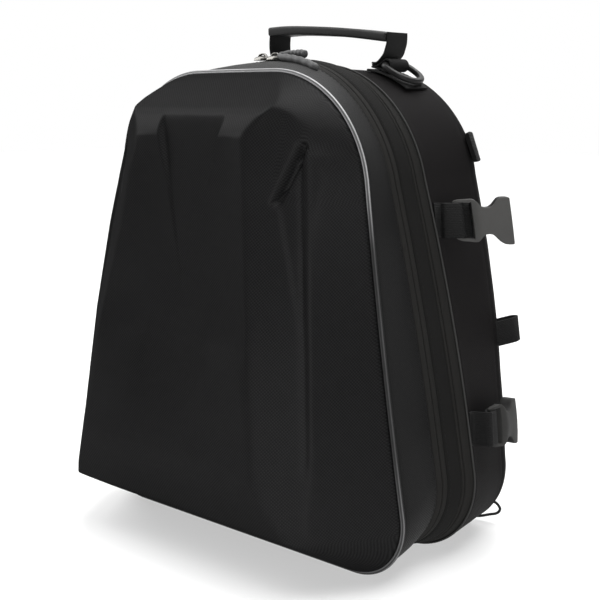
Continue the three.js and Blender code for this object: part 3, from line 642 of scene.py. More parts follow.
# painted shade: a near-black copy of the buckle plastic laid on the side walls of the waist and the mouth, standing in
# for the shadow in the notches
BUCKLE_NOTCH_SHADE = mat_plastic("buckle_notch_painted_shade", (0.010, 0.0099, 0.0097), (0.020, 0.0198, 0.0194), 0.46, 0.12, 0.08)
BEAD = mat_rubber("rear_bead", (0.020, 0.020, 0.0195), (0.040, 0.040, 0.039), 0.6, 0.15)
RING = mat_plastic("ring_plastic", (0.008, 0.008, 0.008), (0.016, 0.016, 0.016), 0.40, 0.10, 0.14)
GRIP = mat_rubber("grip_rubber", (0.007, 0.007, 0.007), (0.015, 0.015, 0.015), 0.55, 0.2)
PULL = mat_rubber("pull_rubber", (0.034, 0.034, 0.0345), (0.078, 0.078, 0.079), 0.55, 0.2)
CHROME = mat_chrome()
CORD = mat_webbing("cord_cloth", (0.008, 0.008, 0.008), (0.02, 0.02, 0.02))
PAD = mat_cloth("strap_pad", (0.0078, 0.0072, 0.0074), (0.0160, 0.0148, 0.0151), 1.3, 0.7, 0.3, 0.18)
THREAD = mat_rubber("thread", (0.006, 0.006, 0.006), (0.015, 0.015, 0.015), 0.6, 0.1)


# ------------------------------------------------------------------ shell
PIPE_LOOP = outline(row_at(0))


def rim_distance(x, z):
    q = np.stack([x, z], -1).reshape(-1, 2)
    a, b = PIPE_LOOP, np.roll(PIPE_LOOP, -1, 0)
    d = b - a
    ll = (d * d).sum(1)
    out = np.empty(len(q))
    for i in range(0, len(q), 3000):
        p = q[i:i + 3000, None]
        t = np.clip(((p - a) * d).sum(2) / ll, 0, 1)
        out[i:i + 3000] = np.sqrt(((p - a - t[..., None] * d) ** 2).sum(2)).min(1)
    return out.reshape(np.shape(x))


def smooth(x, lo, hi):
    t = np.clip((x - lo) / (hi - lo), 0, 1)
    return t * t * (3 - 2 * t)


def segment_distance(x, z, a, b):
    d = b - a
    t = np.clip(((x - a[0]) * d[0] + (z - a[1]) * d[1]) / (d @ d), 0, 1)
    return np.hypot(x - a[0] - t * d[0], z - a[1] - t * d[1]), t


def shell_depth(x, z, width=0.85):
    ax = np.abs(x)

    def at(table, column=1):
        return np.interp(z, table[:, 0], table[:, column])

    flank = at(RELIEF, 4) * rim_distance(x, z)
    slope = at(RELIEF, 2) + at(RELIEF, 3) * (at(RELIEF, 1) - ax)
    # dished front between the two long folds, with a shallow scoop running up its middle
    up = np.clip((z - SCOOP["tip_z"]) / (SCOOP["top_z"] - SCOOP["tip_z"]), 0, 1.3)
    edge = SCOOP["half_top"] * np.minimum(up, 1.08)
    half = at(FOLD_HALF)
    t = np.clip((ax - edge) / (half - edge), 0, 1.25)
    face = at(FACE_MID) + (at(FACE_FOLD) - at(FACE_MID)) * t ** 1.6
    step = smooth(ax, 26, 44) * (1 - smooth(ax - half, -7, 1))
    face = face + 1.5 * step * ((1 - smooth(z, 158, 188)) * smooth(z, 105, 150) - smooth(z, 158, 188) * (1 - smooth(z, 196, 235)))
    inside = smooth(edge - ax, -0.6, 3.2) * smooth(up, 0.0, 0.05)
    face = np.minimum(face, face * (1 - inside) + at(SCOOP_FLOOR) * inside)
    reach = BEVEL["half_low"] + (z - BEVEL["low_z"]) * BEVEL["spread"]
    bevel = at(BEVEL_LINE) + BEVEL["wall"] * np.maximum(0, ax - reach)
    v = np.stack([flank, slope, face, bevel])
    low = v.min(0)
    d = low - width * np.log(np.exp((low - v) / width).sum(0))
    # cut recess, its long blade and the fine fold line
    order = np.argsort(GROOVE[:, 0])
    gx = np.interp(z, GROOVE[order, 0], GROOVE[order, 1])
    run = smooth(z, 92, 112) * (1 - smooth(z, 312, 318))
    d = d - run * (1.2 * np.exp(-((ax - gx + 0.8) / 1.9) ** 2) - 0.7 * np.exp(-((ax - gx - 3.2) / 1.8) ** 2))
    bo = np.argsort(BLADE[:, 0])
    bx = np.interp(z, BLADE[bo, 0], BLADE[bo, 1])
    sx = np.interp(z, [277.0, 314.0], [81.0, 91.2])
    left = np.where(z > 277, sx, bx)
    in_blade = smooth(ax - left, 0, 2.6) * (1 - smooth(ax - gx, -1.5, 0.5)) * smooth(z, 186, 225) * (1 - smooth(z, 310, 316))
    d = d - 1.1 * in_blade
    dist, t = segment_distance(ax, z, SLASH[0], SLASH[1])
    d = d - 6.8 * np.exp(-(np.maximum(0, dist - 1.3) / 1.35) ** 2) * (0.55 + 0.45 * smooth(t, 0.0, 0.25)) * smooth(z, 272, 281)
    return np.maximum(0, d)


def arc_tables():
    xs, zs = np.arange(0, 172.1, 2.0), np.arange(8, 374.1, 2.0)
    X, Z = np.meshgrid(xs, zs)
    D = shell_depth(X, Z)
    gx = np.gradient(D, 2.0, axis=1)
    gz = np.gradient(D, 2.0, axis=0)
    U = np.cumsum(np.sqrt(1 + np.minimum(gx ** 2, 4.0)), 1) * 2.0
    U -= U[:, :1]
    V = np.cumsum(np.sqrt(1 + np.minimum(gz ** 2, 4.0)), 0) * 2.0
    mid = int((205 - 8) / 2)
    V -= V[mid:mid + 1]
    return xs, zs, U, V


def bilinear(xs, zs, T, x, z):
    fx = np.clip((x - xs[0]) / (xs[1] - xs[0]), 0, len(xs) - 1.001)
    fz = np.clip((z - zs[0]) / (zs[1] - zs[0]), 0, len(zs) - 1.001)
    i, j = fx.astype(int), fz.astype(int)
    a, b = fx - i, fz - j
    return (T[j, i] * (1 - a) * (1 - b) + T[j, i + 1] * a * (1 - b) + T[j + 1, i] * (1 - a) * b + T[j + 1, i + 1] * a * b)


def build_shell():
    n = 640
    rim = resample(outline(row_at(0), -0.6), n)
    inner_rim = resample(outline(row_at(0), -0.6 - 3.6), n)
    centre = np.array([0.0, 205.0])
    s = np.concatenate([[0.002, 0.006, 0.012], np.linspace(0.02, 0.80, 94), np.linspace(0.80, 1.0, 42)[1:]])
    rings = []
    for k in s:
        p = centre + (rim - centre) * k
        rings.append((p, -(2.4 + shell_depth(p[:, 0], p[:, 1]))))
    rings[-1] = (rings[-1][0], np.full(n, -2.4))
    # small rolled edge at the rim
    lip = [(offset(rim, -0.5), np.full(n, -1.9)), (offset(rim, -1.6), np.full(n, -1.7))]
    inner = []
    for k in (1.0, 0.95, 0.88, 0.78, 0.6, 0.35, 0.03):
        p = centre + (inner_rim - centre) * k
        e = 2.0
        gx = (shell_depth(p[:, 0] + e, p[:, 1]) - shell_depth(p[:, 0] - e, p[:, 1])) / (2 * e)
        gz = (shell_depth(p[:, 0], p[:, 1] + e) - shell_depth(p[:, 0], p[:, 1] - e)) / (2 * e)
        drop = 3.0 * np.minimum(2.1, np.sqrt(1 + gx ** 2 + gz ** 2))
        inner.append((p, -np.maximum(1.7, 2.4 + shell_depth(p[:, 0], p[:, 1]) - drop)))
    every = rings + lip + inner
    R = np.array([np.stack([p[:, 0], y, p[:, 1]], 1) for p, y in every])
    xs, zs, U, V = arc_tables()
    uu = np.array([np.sign(p[:, 0]) * bilinear(xs, zs, U, np.abs(p[:, 0]), p[:, 1]) for p, _ in every])
    vv = np.array([bilinear(xs, zs, V, np.abs(p[:, 0]), p[:, 1]) for p, _ in every])
    uu = np.concatenate([uu, uu[:, :1]], 1)
    vv = np.concatenate([vv, vv[:, :1]], 1)
    verts, faces, uv = grid(R, u=uu, v=vv, cap=True)
    return make("shell_front", verts, faces, SHELL, uv=uv, stands_for=("shell",), slot="shell_moulded")


build_shell()

# ------------------------------------------------------------------ piping and bands
PIPE_SECTION = [(2.0 * math.sin(a), 2.0 * math.cos(a)) for a in np.linspace(0, 2 * math.pi, 14, endpoint=False)]
belt("reflective_piping", PIPE_SECTION, PIPING, ("piping",), "piping_reflective")

belt("gusset_front", [(1.6, -2.6), (2.3, -1.2), (3.2, -0.2), (4.6, 0.35), (8, 0.7), (16, 1.2), (26, 1.3), (34, 0.9), (39, 0.5), (41.6, 0.35), (42.6, 0.2), (42.88, -0.25), (42.9, -2.4), (30, -2.0), (14, -2.2)],
     GUSSET, ("front_gusset",), "gusset_cloth")
belt("zipper_main", [(43.05, -2.2), (43.08, -0.25), (43.4, 0.15), (45.0, 0.2), (46.3, 0.45), (47.2, 0.5), (47.65, 0.2), (47.75, -0.7), (47.75, -2.0), (48.25, -2.0), (48.25, -0.7), (48.35, 0.2), (48.8, 0.5), (49.7, 0.45), (51.0, 0.2), (52.6, 0.15), (52.92, -0.25), (52.95, -2.2), (52.9, -3.4), (43.1, -3.4)],
     TAPE, ("main_zipper",), "zipper_tape")
belt("gusset_expander", [(53.05, -2.6), (53.08, -0.2), (53.4, 0.25), (55.5, 0.6), (58, 0.75), (59.4, 0.6), (61.2, 0.75), (63.2, 0.55), (64.6, 0.3), (64.9, -0.2), (64.92, -2.6)],
     EXPANDER, ("expander_gusset",), "gusset_cloth")
belt("zipper_rear", [(65.05, -2.4), (65.08, -0.2), (65.35, 0.2), (65.9, 0.5), (66.6, 0.45), (67.0, 0.1), (67.1, -0.8), (67.1, -1.9), (67.6, -1.9), (67.6, -0.8), (67.7, 0.1), (68.1, 0.45), (68.9, 0.5), (70.4, 0.3), (72.4, 0.25), (73.2, 0.25), (74.4, 0.3), (74.7, 0.0), (74.8, -1.2), (74.75, -3.2), (65.2, -3.2)],
     TAPE, ("rear_zipper",), "zipper_tape")


BEAD_SECTION = [(74.15 + 0.62 * math.sin(a), 1.25 + 0.62 * math.cos(a)) for a in np.linspace(0, 2 * math.pi, 10, endpoint=False)]
belt("bead_rear", BEAD_SECTION, BEAD, slot="piping_reflective")


def coil(name, y, out, radius, pitch):
    """Interlocked coil seen in the slit between two tapes."""
    base = resample(outline(row_at(y), out), 1900)
    s = perimeter(base)[:-1]
    nrm = normals2(base)
    k = np.round(s[-1] / pitch)
    wave = 0.72 + 0.28 * np.abs(np.sin(math.pi * s / s[-1] * k))
    rings = []
    for a in np.linspace(0, 2 * math.pi, 6, endpoint=False):
        r = radius * wave
        p = base + nrm * (r * math.cos(a) * 0.8)[:, None]
        rings.append(np.stack([p[:, 0], y + r * math.sin(a), p[:, 1]], 1))
    u = np.repeat(np.concatenate([s, [s[-1]]])[None], 6, 0)
    v = np.zeros((7, u.shape[1]))
    verts, faces, uv = grid(np.array(rings), close_v=True, u=u, v=v)
    make(name, verts, faces, COIL, uv=uv, slot="zipper_tape")


coil("coil_main", 48.0, -1.4, 0.62, 1.6)
coil("coil_rear", 67.35, -1.4, 0.55, 1.6)


# ------------------------------------------------------------------ back section
def build_back():
    rows = []
    for y in np.linspace(75.2, 127.0, 16):
        rows.append((y, 0.0))
    for a in np.linspace(0, math.pi / 2, 15)[1:]:
        rows.append((REAR_Y - REAR_ROUND * (1 - math.sin(a)), -REAR_ROUND * (1 - math.cos(a))))
    outer = []
    first = outline(row_at(75.2, REAR_ROWS), -0.9)
    outer.append(lift(first, 74.95))
    for y, out in rows:
        outer.append(lift(outline(row_at(min(y, 125.0), REAR_ROWS), out), y))
    last = outer[-1]
    mid = np.array([0.0, REAR_Y, 195.0])
    for k in (0.97, 0.93, 0.88, 0.8, 0.7, 0.6, 0.5, 0.4, 0.3, 0.2, 0.1, 0.03):
        outer.append(mid + (last - mid) * k)
    inner = [lift(outline(row_at(75.2, REAR_ROWS), -2.8), 75.0)]
    for y, out in ((100, -2.8), (125, -2.8), (138, -8.0), (147, -17.0), (150.2, -29.0)):
        inner.append(lift(outline(row_at(min(y, 125.0), REAR_ROWS), out), y))
    lasti = inner[-1]
    for k in (0.6, 0.3, 0.03):
        inner.append(np.array([0.0, 150.2, 195.0]) + (lasti - np.array([0.0, 150.2, 195.0])) * k)
    outer = np.array(outer)
    # soft cloth: slow hollows and a drawn seam line
    flat = outer.reshape(-1, 3)
    move = np.array([0.75 * noise.fractal(Vector((p[0] * 0.012, p[1] * 0.016, p[2] * 0.012)), 1.0, 2.0, 3) for p in flat]).reshape(outer.shape[:2])
    d_u = np.roll(outer, -1, 1) - np.roll(outer, 1, 1)
    d_v = np.gradient(outer, axis=0)
    nrm = unit(np.cross(d_u, d_v))
    ref = outer - np.array([0.0, 95.0, 190.0])
    sgn = np.sign(np.sum(nrm * ref, axis=2, keepdims=True))
    fade = np.ones(len(outer))
    fade[:2] = 0.0
    fade[2] = 0.3
    on_floor = smooth(outer[..., 2], 11.0, 30.0)
    outer = outer + nrm * sgn * ((move - 0.35) * fade[:, None] * on_floor)[..., None]
    # drawn seam where the side turns into the back
    k = 17
    outer[k] -= (nrm * sgn)[k] * (0.9 * on_floor[k])[:, None]
    every = np.concatenate([outer, np.array(inner)[::1]])
    order = list(range(len(outer) - 1, -1, -1)) + list(range(len(outer), len(every)))
    R = every[order]
    step = np.linalg.norm(np.diff(R, axis=0), axis=2).mean(1)
    across = np.concatenate([[0], np.cumsum(step)])
    u = np.array([np.concatenate([[0], np.cumsum(np.linalg.norm(np.roll(r, -1, 0) - r, axis=1))]) for r in R])
    # planar threads on the back panel, wrapped threads on the sides
    v = np.repeat(across[:, None], R.shape[1] + 1, 1)
    for i, k in enumerate(order):
        if k < len(outer) and k >= 31:
            p = np.vstack([R[i], R[i][:1]])
            u[i], v[i] = p[:, 0], p[:, 2]
    verts, faces, uv = grid(R, u=u, v=v, cap=True)
    return make("back_section", verts, faces, BACK, uv=uv, stands_for=("back_body",), slot="back_cloth")


build_back()

# ------------------------------------------------------------------ carry handle
HANDLE_Y = 111.0
STITCH = Heap()
GRIP_LINE = [(-60.5, 401.0), (-46, 401.4), (-32, 401.1), (-10, 399.8), (10, 398.3), (30, 396.3), (48, 394.0), (61.5, 392.2)]


def in_plane(rows, y=HANDLE_Y):
    return np.array([(x, y, z) for x, z in rows], float)


def eased(points, n, ends=(0.0, 0.25, 0.8)):
    """Even samples along a curve with a few close ones at both ends, and how full the section is at each."""
    fine = spline(points, 400)
    d = np.concatenate([[0], np.cumsum(np.linalg.norm(np.diff(fine, axis=0), axis=1))])
    L = d[-1]
    at = np.concatenate([ends, np.linspace(2.0, L - 2.0, n), L - np.array(ends[::-1])])
    path = np.stack([np.interp(at, d, fine[:, k]) for k in range(3)], 1)
    full = np.ones(len(at))
    full[:3] = (0.80, 0.93, 0.985)
    full[-3:] = full[:3][::-1]
    return path, full


path, full = eased(in_plane(GRIP_LINE), 60)
v, f, uv = sweep(path, (0, 1, 0), rounded(26.6, 6.9, 1.7, 4), scale=np.stack([0.75 + 0.25 * full, full], 1))
make("handle_grip_sleeve", v, f, GRIP, uv=uv, stands_for=("handle_grip",), slot="grip_rubber", sharp=50)
for dy, nrm in ((-13.35, -1), (13.35, 1)):
    for dz in (-2.1,):
        run = spline(in_plane([(x, z + dz) for x, z in GRIP_LINE[1:-1]], HANDLE_Y + dy), 60)
        stitches(STITCH, run, (0, nrm, 0), 2.6, 1.4, 0.28)

TILT = math.radians(18.37)
AXIS = np.array([61.322, 360.51 + 11.0])
LIFT = 7.3
FOOT = np.array([AXIS[0] - LIFT * math.sin(TILT), AXIS[1] - LIFT * math.cos(TILT)])


def shoulder(u, w, s=1):
    return (s * (FOOT[0] + u * math.cos(TILT) + w * math.sin(TILT)), FOOT[1] - u * math.sin(TILT) + w * math.cos(TILT))


for side_name, s in (("left", -1), ("right", 1)):
    # patch under the ring
    xs = np.linspace(44.5, 82.5, 20)
    path = np.array([(s * x, HANDLE_Y, height_on_top(x, HANDLE_Y + 13) + 0.9) for x in xs])
    v, f, uv = sweep(path, (0, 1, 0), rounded(27, 1.5, 0.6, 2))
    make("ring_patch_web_" + side_name, v, f, WEB, uv=uv, stands_for=("ring_patch_" + side_name,), slot="webbing", sharp=50)
    # folded tab around the ring's bar
    turn = [(math.radians(a)) for a in np.linspace(-90, 160, 12)]
    rows = [shoulder(u, w, s) for u, w in ((-13, 2.1), (-9, 2.4), (-5, 2.85))] + [shoulder(4.3 * math.cos(a), LIFT + 4.3 * math.sin(a), s) for a in turn] + [shoulder(-8.5, 4.3, s), shoulder(-13, 3.6, s)]
    path = spline(in_plane(rows), 46)
    v, f, uv = sweep(path, (0, 1, 0), rounded(23.2, 1.35, 0.55, 2))
    make("ring_tab_web_" + side_name, v, f, WEB, uv=uv, stands_for=("ring_tab_" + side_name,), slot="webbing", sharp=50)
    # ring
    droop = TILT + math.radians(12)
    h, bar, reach = 17.5 - 2.45, 4.2, 25.4
    ring_path = [(0.0, -h + 4), (0.0, -6), (0.0, 6), (0.0, h - 4), (1.2, h - 1.0), (4.0, h), (9.0, h)]
    cx = reach - 17.5 + 1
    ring_path += [(cx + h * math.sin(a) * 1.0, h * math.cos(a)) for a in np.linspace(0.12, math.pi - 0.12, 12)]
    ring_path += [(9.0, -h), (4.0, -h), (1.2, -h + 1.0)]
    pts = []
    for u, w in ring_path:
        pts.append((s * (AXIS[0] + u * math.cos(droop)), HANDLE_Y + w, AXIS[1] - u * math.sin(droop)))
    path = spline(pts, 96, closed=True)
    plane = np.array([s * math.sin(droop), 0.0, math.cos(droop)])
    v, f, uv = sweep(path, plane, rounded(4.2, 4.9, 1.6, 4), closed=True)
    make("d_ring_body_" + side_name, v, f, RING, uv=uv, body="d_ring_" + side_name, stands_for=("d_ring_" + side_name,), slot="ring_plastic", sharp=50)

LEG_TOP = {
    "left": [(-58.8, 399.0), (-59.4, 391), (-58.8, 384.5), (-56.4, 377.8)],
    "right": [(62.9, 396.0), (63.0, 392.5), (62.6, 388.0), (61.4, 384.2), (59.8, 380.2), (57.0, 376.9)],
}
for side_name, s in (("left", -1), ("right", 1)):
    foot = [shoulder(-7.6, 8.0, s), shoulder(-9.6, 6.1, s), shoulder(-13.0, 5.1, s)]
    path = spline(in_plane(LEG_TOP[side_name] + foot), 50)
    v, f, uv = sweep(path, (0, 1, 0), rounded(25, 1.5, 0.6, 2))
    make("handle_leg_web_" + side_name, v, f, WEB, uv=uv, stands_for=("handle_leg_" + side_name,), slot="webbing", sharp=50)

# ------------------------------------------------------------------ sliders and pulls
ZIP_Y = 48.0
for name, x in (("a", -18.5), ("b", -5.0)):
    z0 = max(height_on_zip(x + d, ZIP_Y) for d in (-6, 0, 6)) + 0.9
    heap = Heap()
    # body with a domed top, wider at its nose
    body = []
    for t in np.linspace(-1, 1, 13):
        w = 4.3 - 0.9 * max(0.0, t) ** 2 - 0.5 * max(0.0, -t - 0.6)
        hgt = 2.3 + 1.1 * (1 - t * t)
        ring = []
        for a in np.linspace(0, math.pi, 9):
            ring.append((x + 6.0 * t, ZIP_Y + w * math.cos(a), z0 + hgt * math.sin(a) ** 0.7))
        ring += [(x + 6.0 * t, ZIP_Y - w * 0.96, z0 - 0.3), (x + 6.0 * t, ZIP_Y + w * 0.96, z0 - 0.3)]
        body.append(ring)
    v, f, _ = grid(np.array(body), cap=True)
    heap.add(v, f)
    # bridge for the pull
    arch = spline([(x - 4.2, ZIP_Y, z0 + 2.4), (x - 2.2, ZIP_Y, z0 + 4.3), (x + 1.5, ZIP_Y, z0 + 4.4), (x + 3.8, ZIP_Y, z0 + 2.4)], 14)
    v, f, _ = sweep(arch, (0, 1, 0), rounded(2.6, 1.2, 0.4, 2))
    heap.add(v, f)
    heap.make("zip_slider_body_" + name, CHROME, stands_for=("zip_slider_" + name,), slot="slider_chrome", sharp=40)

PULLS = {
    "a": [(-2.0, ZIP_Y + 1.5, 5.0), (4, ZIP_Y + 3, 4.9), (10, ZIP_Y + 4, 4.8), (16, ZIP_Y + 4.5, 4.8), (22, ZIP_Y + 5, 4.6)],
    "b": [(-0.5, ZIP_Y - 0.5, 4.4), (6, ZIP_Y - 6, 3.2), (17, ZIP_Y - 10.5, 3.0), (29, ZIP_Y - 13, 3.0), (41, ZIP_Y - 14.5, 3.0), (51, ZIP_Y - 15.5, 2.8)],
}
for name, rows in PULLS.items():
    pts = [(x, y, height_on_zip(x, y) + w) for x, y, w in rows]
    path = spline(pts, 46)
    t = np.linspace(0, 1, 46)
    girth = 0.62 + 0.38 * smooth(t, 0.10, 0.30)
    girth = girth * (1 + 0.07 * np.sin(t * 46 * 0.9) * smooth(t, 0.3, 0.4) * (1 - smooth(t, 0.85, 0.95)))
    girth[-1], girth[-2], girth[-3] = 0.35, 0.75, 0.93
    girth[0], girth[1] = 0.4, 0.58
    girth = girth * (1 + 0.22 * smooth(t, 0.55, 0.75)) if name == "a" else girth * 1.2
    v, f, uv = sweep(path, (0, 1, 0), circle(2.5, 16), scale=np.stack([girth * 1.1, girth], 1))
    make("zip_pull_grip_" + name, v, f, PULL, uv=uv, stands_for=("zip_pull_" + name,), slot="pull_rubber")


# ------------------------------------------------------------------ side straps and buckles
# the lower buckles take the darker copy of the buckle plastic: painted shade
STRAPS = {"upper": dict(z=259.4, off=10.5, y=85.0, heading=44.0, dip=0.0, skin=BUCKLE), "lower": dict(z=109.6, off=12.2, y=90.0, heading=102.0, dip=-0.09, skin=BUCKLE_PAINTED_SHADE)}
ROOT_Y, ROOT_OFF = 77.5, 4.6
BUCKLE_U = (0, 1.2, 4, 8.5, 13, 15, 17, 19, 21, 23.3, 25.6, 28, 30, 32, 34, 36.5, 39, 40.3, 41)
BUCKLE_W = (13.4, 14.3, 15.1, 15.3, 15.7, 15.4, 13.6, 11.2, 9.9, 9.6, 9.9, 11.4, 13.6, 15.8, 16.9, 17.2, 17.2, 17.0, 16.4)
BUCKLE_DROP = (2.0, 1.7, 1.0, 0.3)   # the bar end bends toward the bag
BUCKLE_T = (1.3, 1.6, 1.9, 2.1, 2.9, 3.9, 4.9, 5.4, 5.5, 5.5, 5.5, 5.5, 5.5, 5.5, 5.5, 5.5, 5.4, 5.2, 4.8)
ACROSS = (-1, -0.93, -0.855, -0.45, 0, 0.45, 0.855, 0.93, 1)


def buckle(name, origin, along, out, up, node, skin):
    """Female half of a side-release buckle: bar and window for the webbing, waist, open mouth."""
    nu, nw = len(BUCKLE_U), len(ACROSS)
    idx, verts = {}, []

    def vertex(i, j, k):
        if (i, j, k) not in idx:
            w = BUCKLE_W[i] * ACROSS[j]
            t = BUCKLE_T[i] * (1 - 0.16 * ACROSS[j] ** 2)
            level = (-t, -min(3.2, 0.6 * t), min(3.2, 0.6 * t), t)[k]
            idx[(i, j, k)] = len(verts)
            level -= BUCKLE_DROP[i] if i < len(BUCKLE_DROP) else 0.0
            verts.append(origin + along * BUCKLE_U[i] + up * w + out * level)
        return idx[(i, j, k)]

    def solid(i, j, k):
        if not (0 <= i < nu - 1 and 0 <= j < nw - 1 and 0 <= k < 3):
            return False
        if 2 <= i < 4 and 2 <= j < 6:
            return False
        return not (k == 1 and i >= 7 and 2 <= j < 6)

    faces, shade = [], []      # shade: faces on the side walls of the waist and the mouth, given a darker plastic as painted shade in the notches
    for i in range(nu - 1):
        for j in range(nw - 1):
            for k in range(3):
                if not solid(i, j, k):
                    continue
                c = [[[vertex(i + a, j + b, k + d) for d in (0, 1)] for b in (0, 1)] for a in (0, 1)]
                if not solid(i - 1, j, k):
                    faces.append((c[0][0][0], c[0][0][1], c[0][1][1], c[0][1][0]))
                if not solid(i + 1, j, k):
                    faces.append((c[1][0][0], c[1][1][0], c[1][1][1], c[1][0][1]))
                if not solid(i, j - 1, k):
                    shade += [len(faces)] if i > 5 else []
                    faces.append((c[0][0][0], c[1][0][0], c[1][0][1], c[0][0][1]))
                if not solid(i, j + 1, k):
                    shade += [len(faces)] if i > 5 else []
                    faces.append((c[0][1][0], c[0][1][1], c[1][1][1], c[1][1][0]))
                if not solid(i, j, k - 1):
                    faces.append((c[0][0][0], c[0][1][0], c[1][1][0], c[1][0][0]))
                if not solid(i, j, k + 1):
                    faces.append((c[0][0][1], c[1][0][1], c[1][1][1], c[0][1][1]))
    me = bpy.data.meshes.new(name)
    me.from_pydata(to_row(np.array(verts)).tolist(), [], faces)
    me.materials.append(skin)
    me.materials.append(BUCKLE_NOTCH_SHADE)
    # the side walls listed in shade take the dark plastic: painted shade
    for i in shade:
        me.polygons[i].material_index = 1
    bm = bmesh.new()
    bm.from_mesh(me)
    bmesh.ops.recalc_face_normals(bm, faces=bm.faces)
    edges = [e for e in bm.edges if len(e.link_faces) == 2 and e.calc_face_angle() > math.radians(48)]
    bmesh.ops.bevel(bm, geom=edges, offset=0.0009, offset_type="OFFSET", segments=3, profile=0.5, affect="EDGES", clamp_overlap=True)
    bmesh.ops.recalc_face_normals(bm, faces=bm.faces)
    bm.to_mesh(me)
    bm.free()
    me.shade_smooth()
    me.set_sharp_from_angle(angle=math.radians(38))
    obj = bpy.data.objects.new(name, me)
    bpy.context.scene.collection.objects.link(obj)
    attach(obj, BAG)
    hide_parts(node)


for side_name, s in (("left", -1), ("right", 1)):
    for level, r in STRAPS.items():
        a = math.radians(r["heading"])
        along = unit(np.array([s * math.cos(a), math.sin(a), r["dip"]]))
        out = np.array([s * math.sin(a), -math.cos(a), 0.0])
        start = np.array([s * (side_at(r["z"], r["y"]) + r["off"]), r["y"], r["z"]])
        lean = 0.66 * (side_at(r["z"] + 15, r["y"]) - side_at(r["z"] - 15, r["y"])) / 30
        up = unit(np.array([s * lean, 0.0, 1.0]))
        buckle(f"buckle_{level}_{side_name}", start, along, out, up, f"{level}_buckle_{side_name}", r["skin"])
        root = np.array([s * (side_at(r["z"], ROOT_Y) + 0.4), ROOT_Y - 2.4, r["z"]])
        first = np.array([s * (side_at(r["z"], ROOT_Y + 3) + 1.7), ROOT_Y + 2.6, r["z"]])

        def near(u, t):
            return start + along * u + out * t

        wrap = [near(u, t) for u, t in ((-7, 0.4), (-2.6, 1.4), (1.0, 1.6), (4.2, 1.4), (6.2, 0.4), (7.2, -1.8), (10.6, -3.9), (13.0, -4.8), (10.6, -5.9), (4.0, -5.2), (-2.6, -3.4), (-8.0, -1.0))]
        path = spline([root, first] + wrap, 110)
        v, f, uv = sweep(path, up, rounded(25.2, 1.4, 0.6, 2))
        make(f"{level}_strap_web_{side_name}", v, f, WEB, uv=uv, stands_for=(f"{level}_strap_{side_name}",), slot="webbing", sharp=50)


# ------------------------------------------------------------------ loops, tabs and cords on the rear edge
def rear_edge(z, angle, off):
    a = math.radians(angle)
    r = REAR_ROUND + off
    return np.array([side_at(z, 125.0) - REAR_ROUND + r * math.cos(a), REAR_Y - REAR_ROUND + r * math.sin(a)])


CORD_LOOP = [(130.8, 148.2, 29.6), (135.0, 149.8, 28.8), (139.6, 150.4, 27.4), (142.6, 150.6, 23.6), (140.2, 150.0, 19.6), (133.6, 148.6, 17.2), (127.2, 147.0, 14.9), (123.2, 145.4, 14.3)]
for side_name, s in (("left", -1), ("right", 1)):
    b = rear_edge(160 + 11, 30, -2.2)
    d = np.array([math.cos(0.62), math.sin(0.62)])
    n = np.array([-d[1], d[0]])
    g, reach = 5.8, 17.2
    rows = []
    for u, w in ((0.0, -g), (reach - 6, -g * 0.98), (reach - 2.2, -g * 0.75), (reach, 0), (reach - 2.2, g * 0.75), (reach - 6, g * 0.98), (0.0, g)):
        q = b + d * u + n * w
        rows.append((s * q[0], q[1], 168.6 + 0.28 * u))
    lean = (side_at(182, 125.0) - side_at(160, 125.0)) / 22
    v, f, uv = sweep(spline(rows, 50), (s * lean, 0, 1), rounded(18.8, 1.5, 0.6, 2))
    make("side_loop_web_" + side_name, v, f, WEB, uv=uv, stands_for=("side_loop_" + side_name,), slot="webbing", sharp=50)
    lean = (side_at(321, 125.0) - side_at(296, 125.0)) / 25
    rows, ups = [], []
    for a in np.linspace(8, 56, 24):
        q = rear_edge(310.0, a, 2.5)
        rows.append((s * q[0], q[1], 310.0))
        ups.append((s * (lean - 0.02 * math.cos(math.radians(a))), -0.02 * math.sin(math.radians(a)), 1.0))
    v, f, uv = sweep(np.array(rows), np.array(ups), rounded(23, 3.4, 1.2, 3))
    make("top_tab_web_" + side_name, v, f, WEB, uv=uv, stands_for=("top_tab_" + side_name,), slot="webbing", sharp=50)
    path = spline([(s * x, y, z) for x, y, z in CORD_LOOP], 60)
    v, f, uv = sweep(path, (0, 1, 0), circle(1.1, 10))
    o = make("cord_loop_braid_" + side_name, v, f, CORD, uv=uv, stands_for=("cord_loop_" + side_name,), slot="cord_cloth")

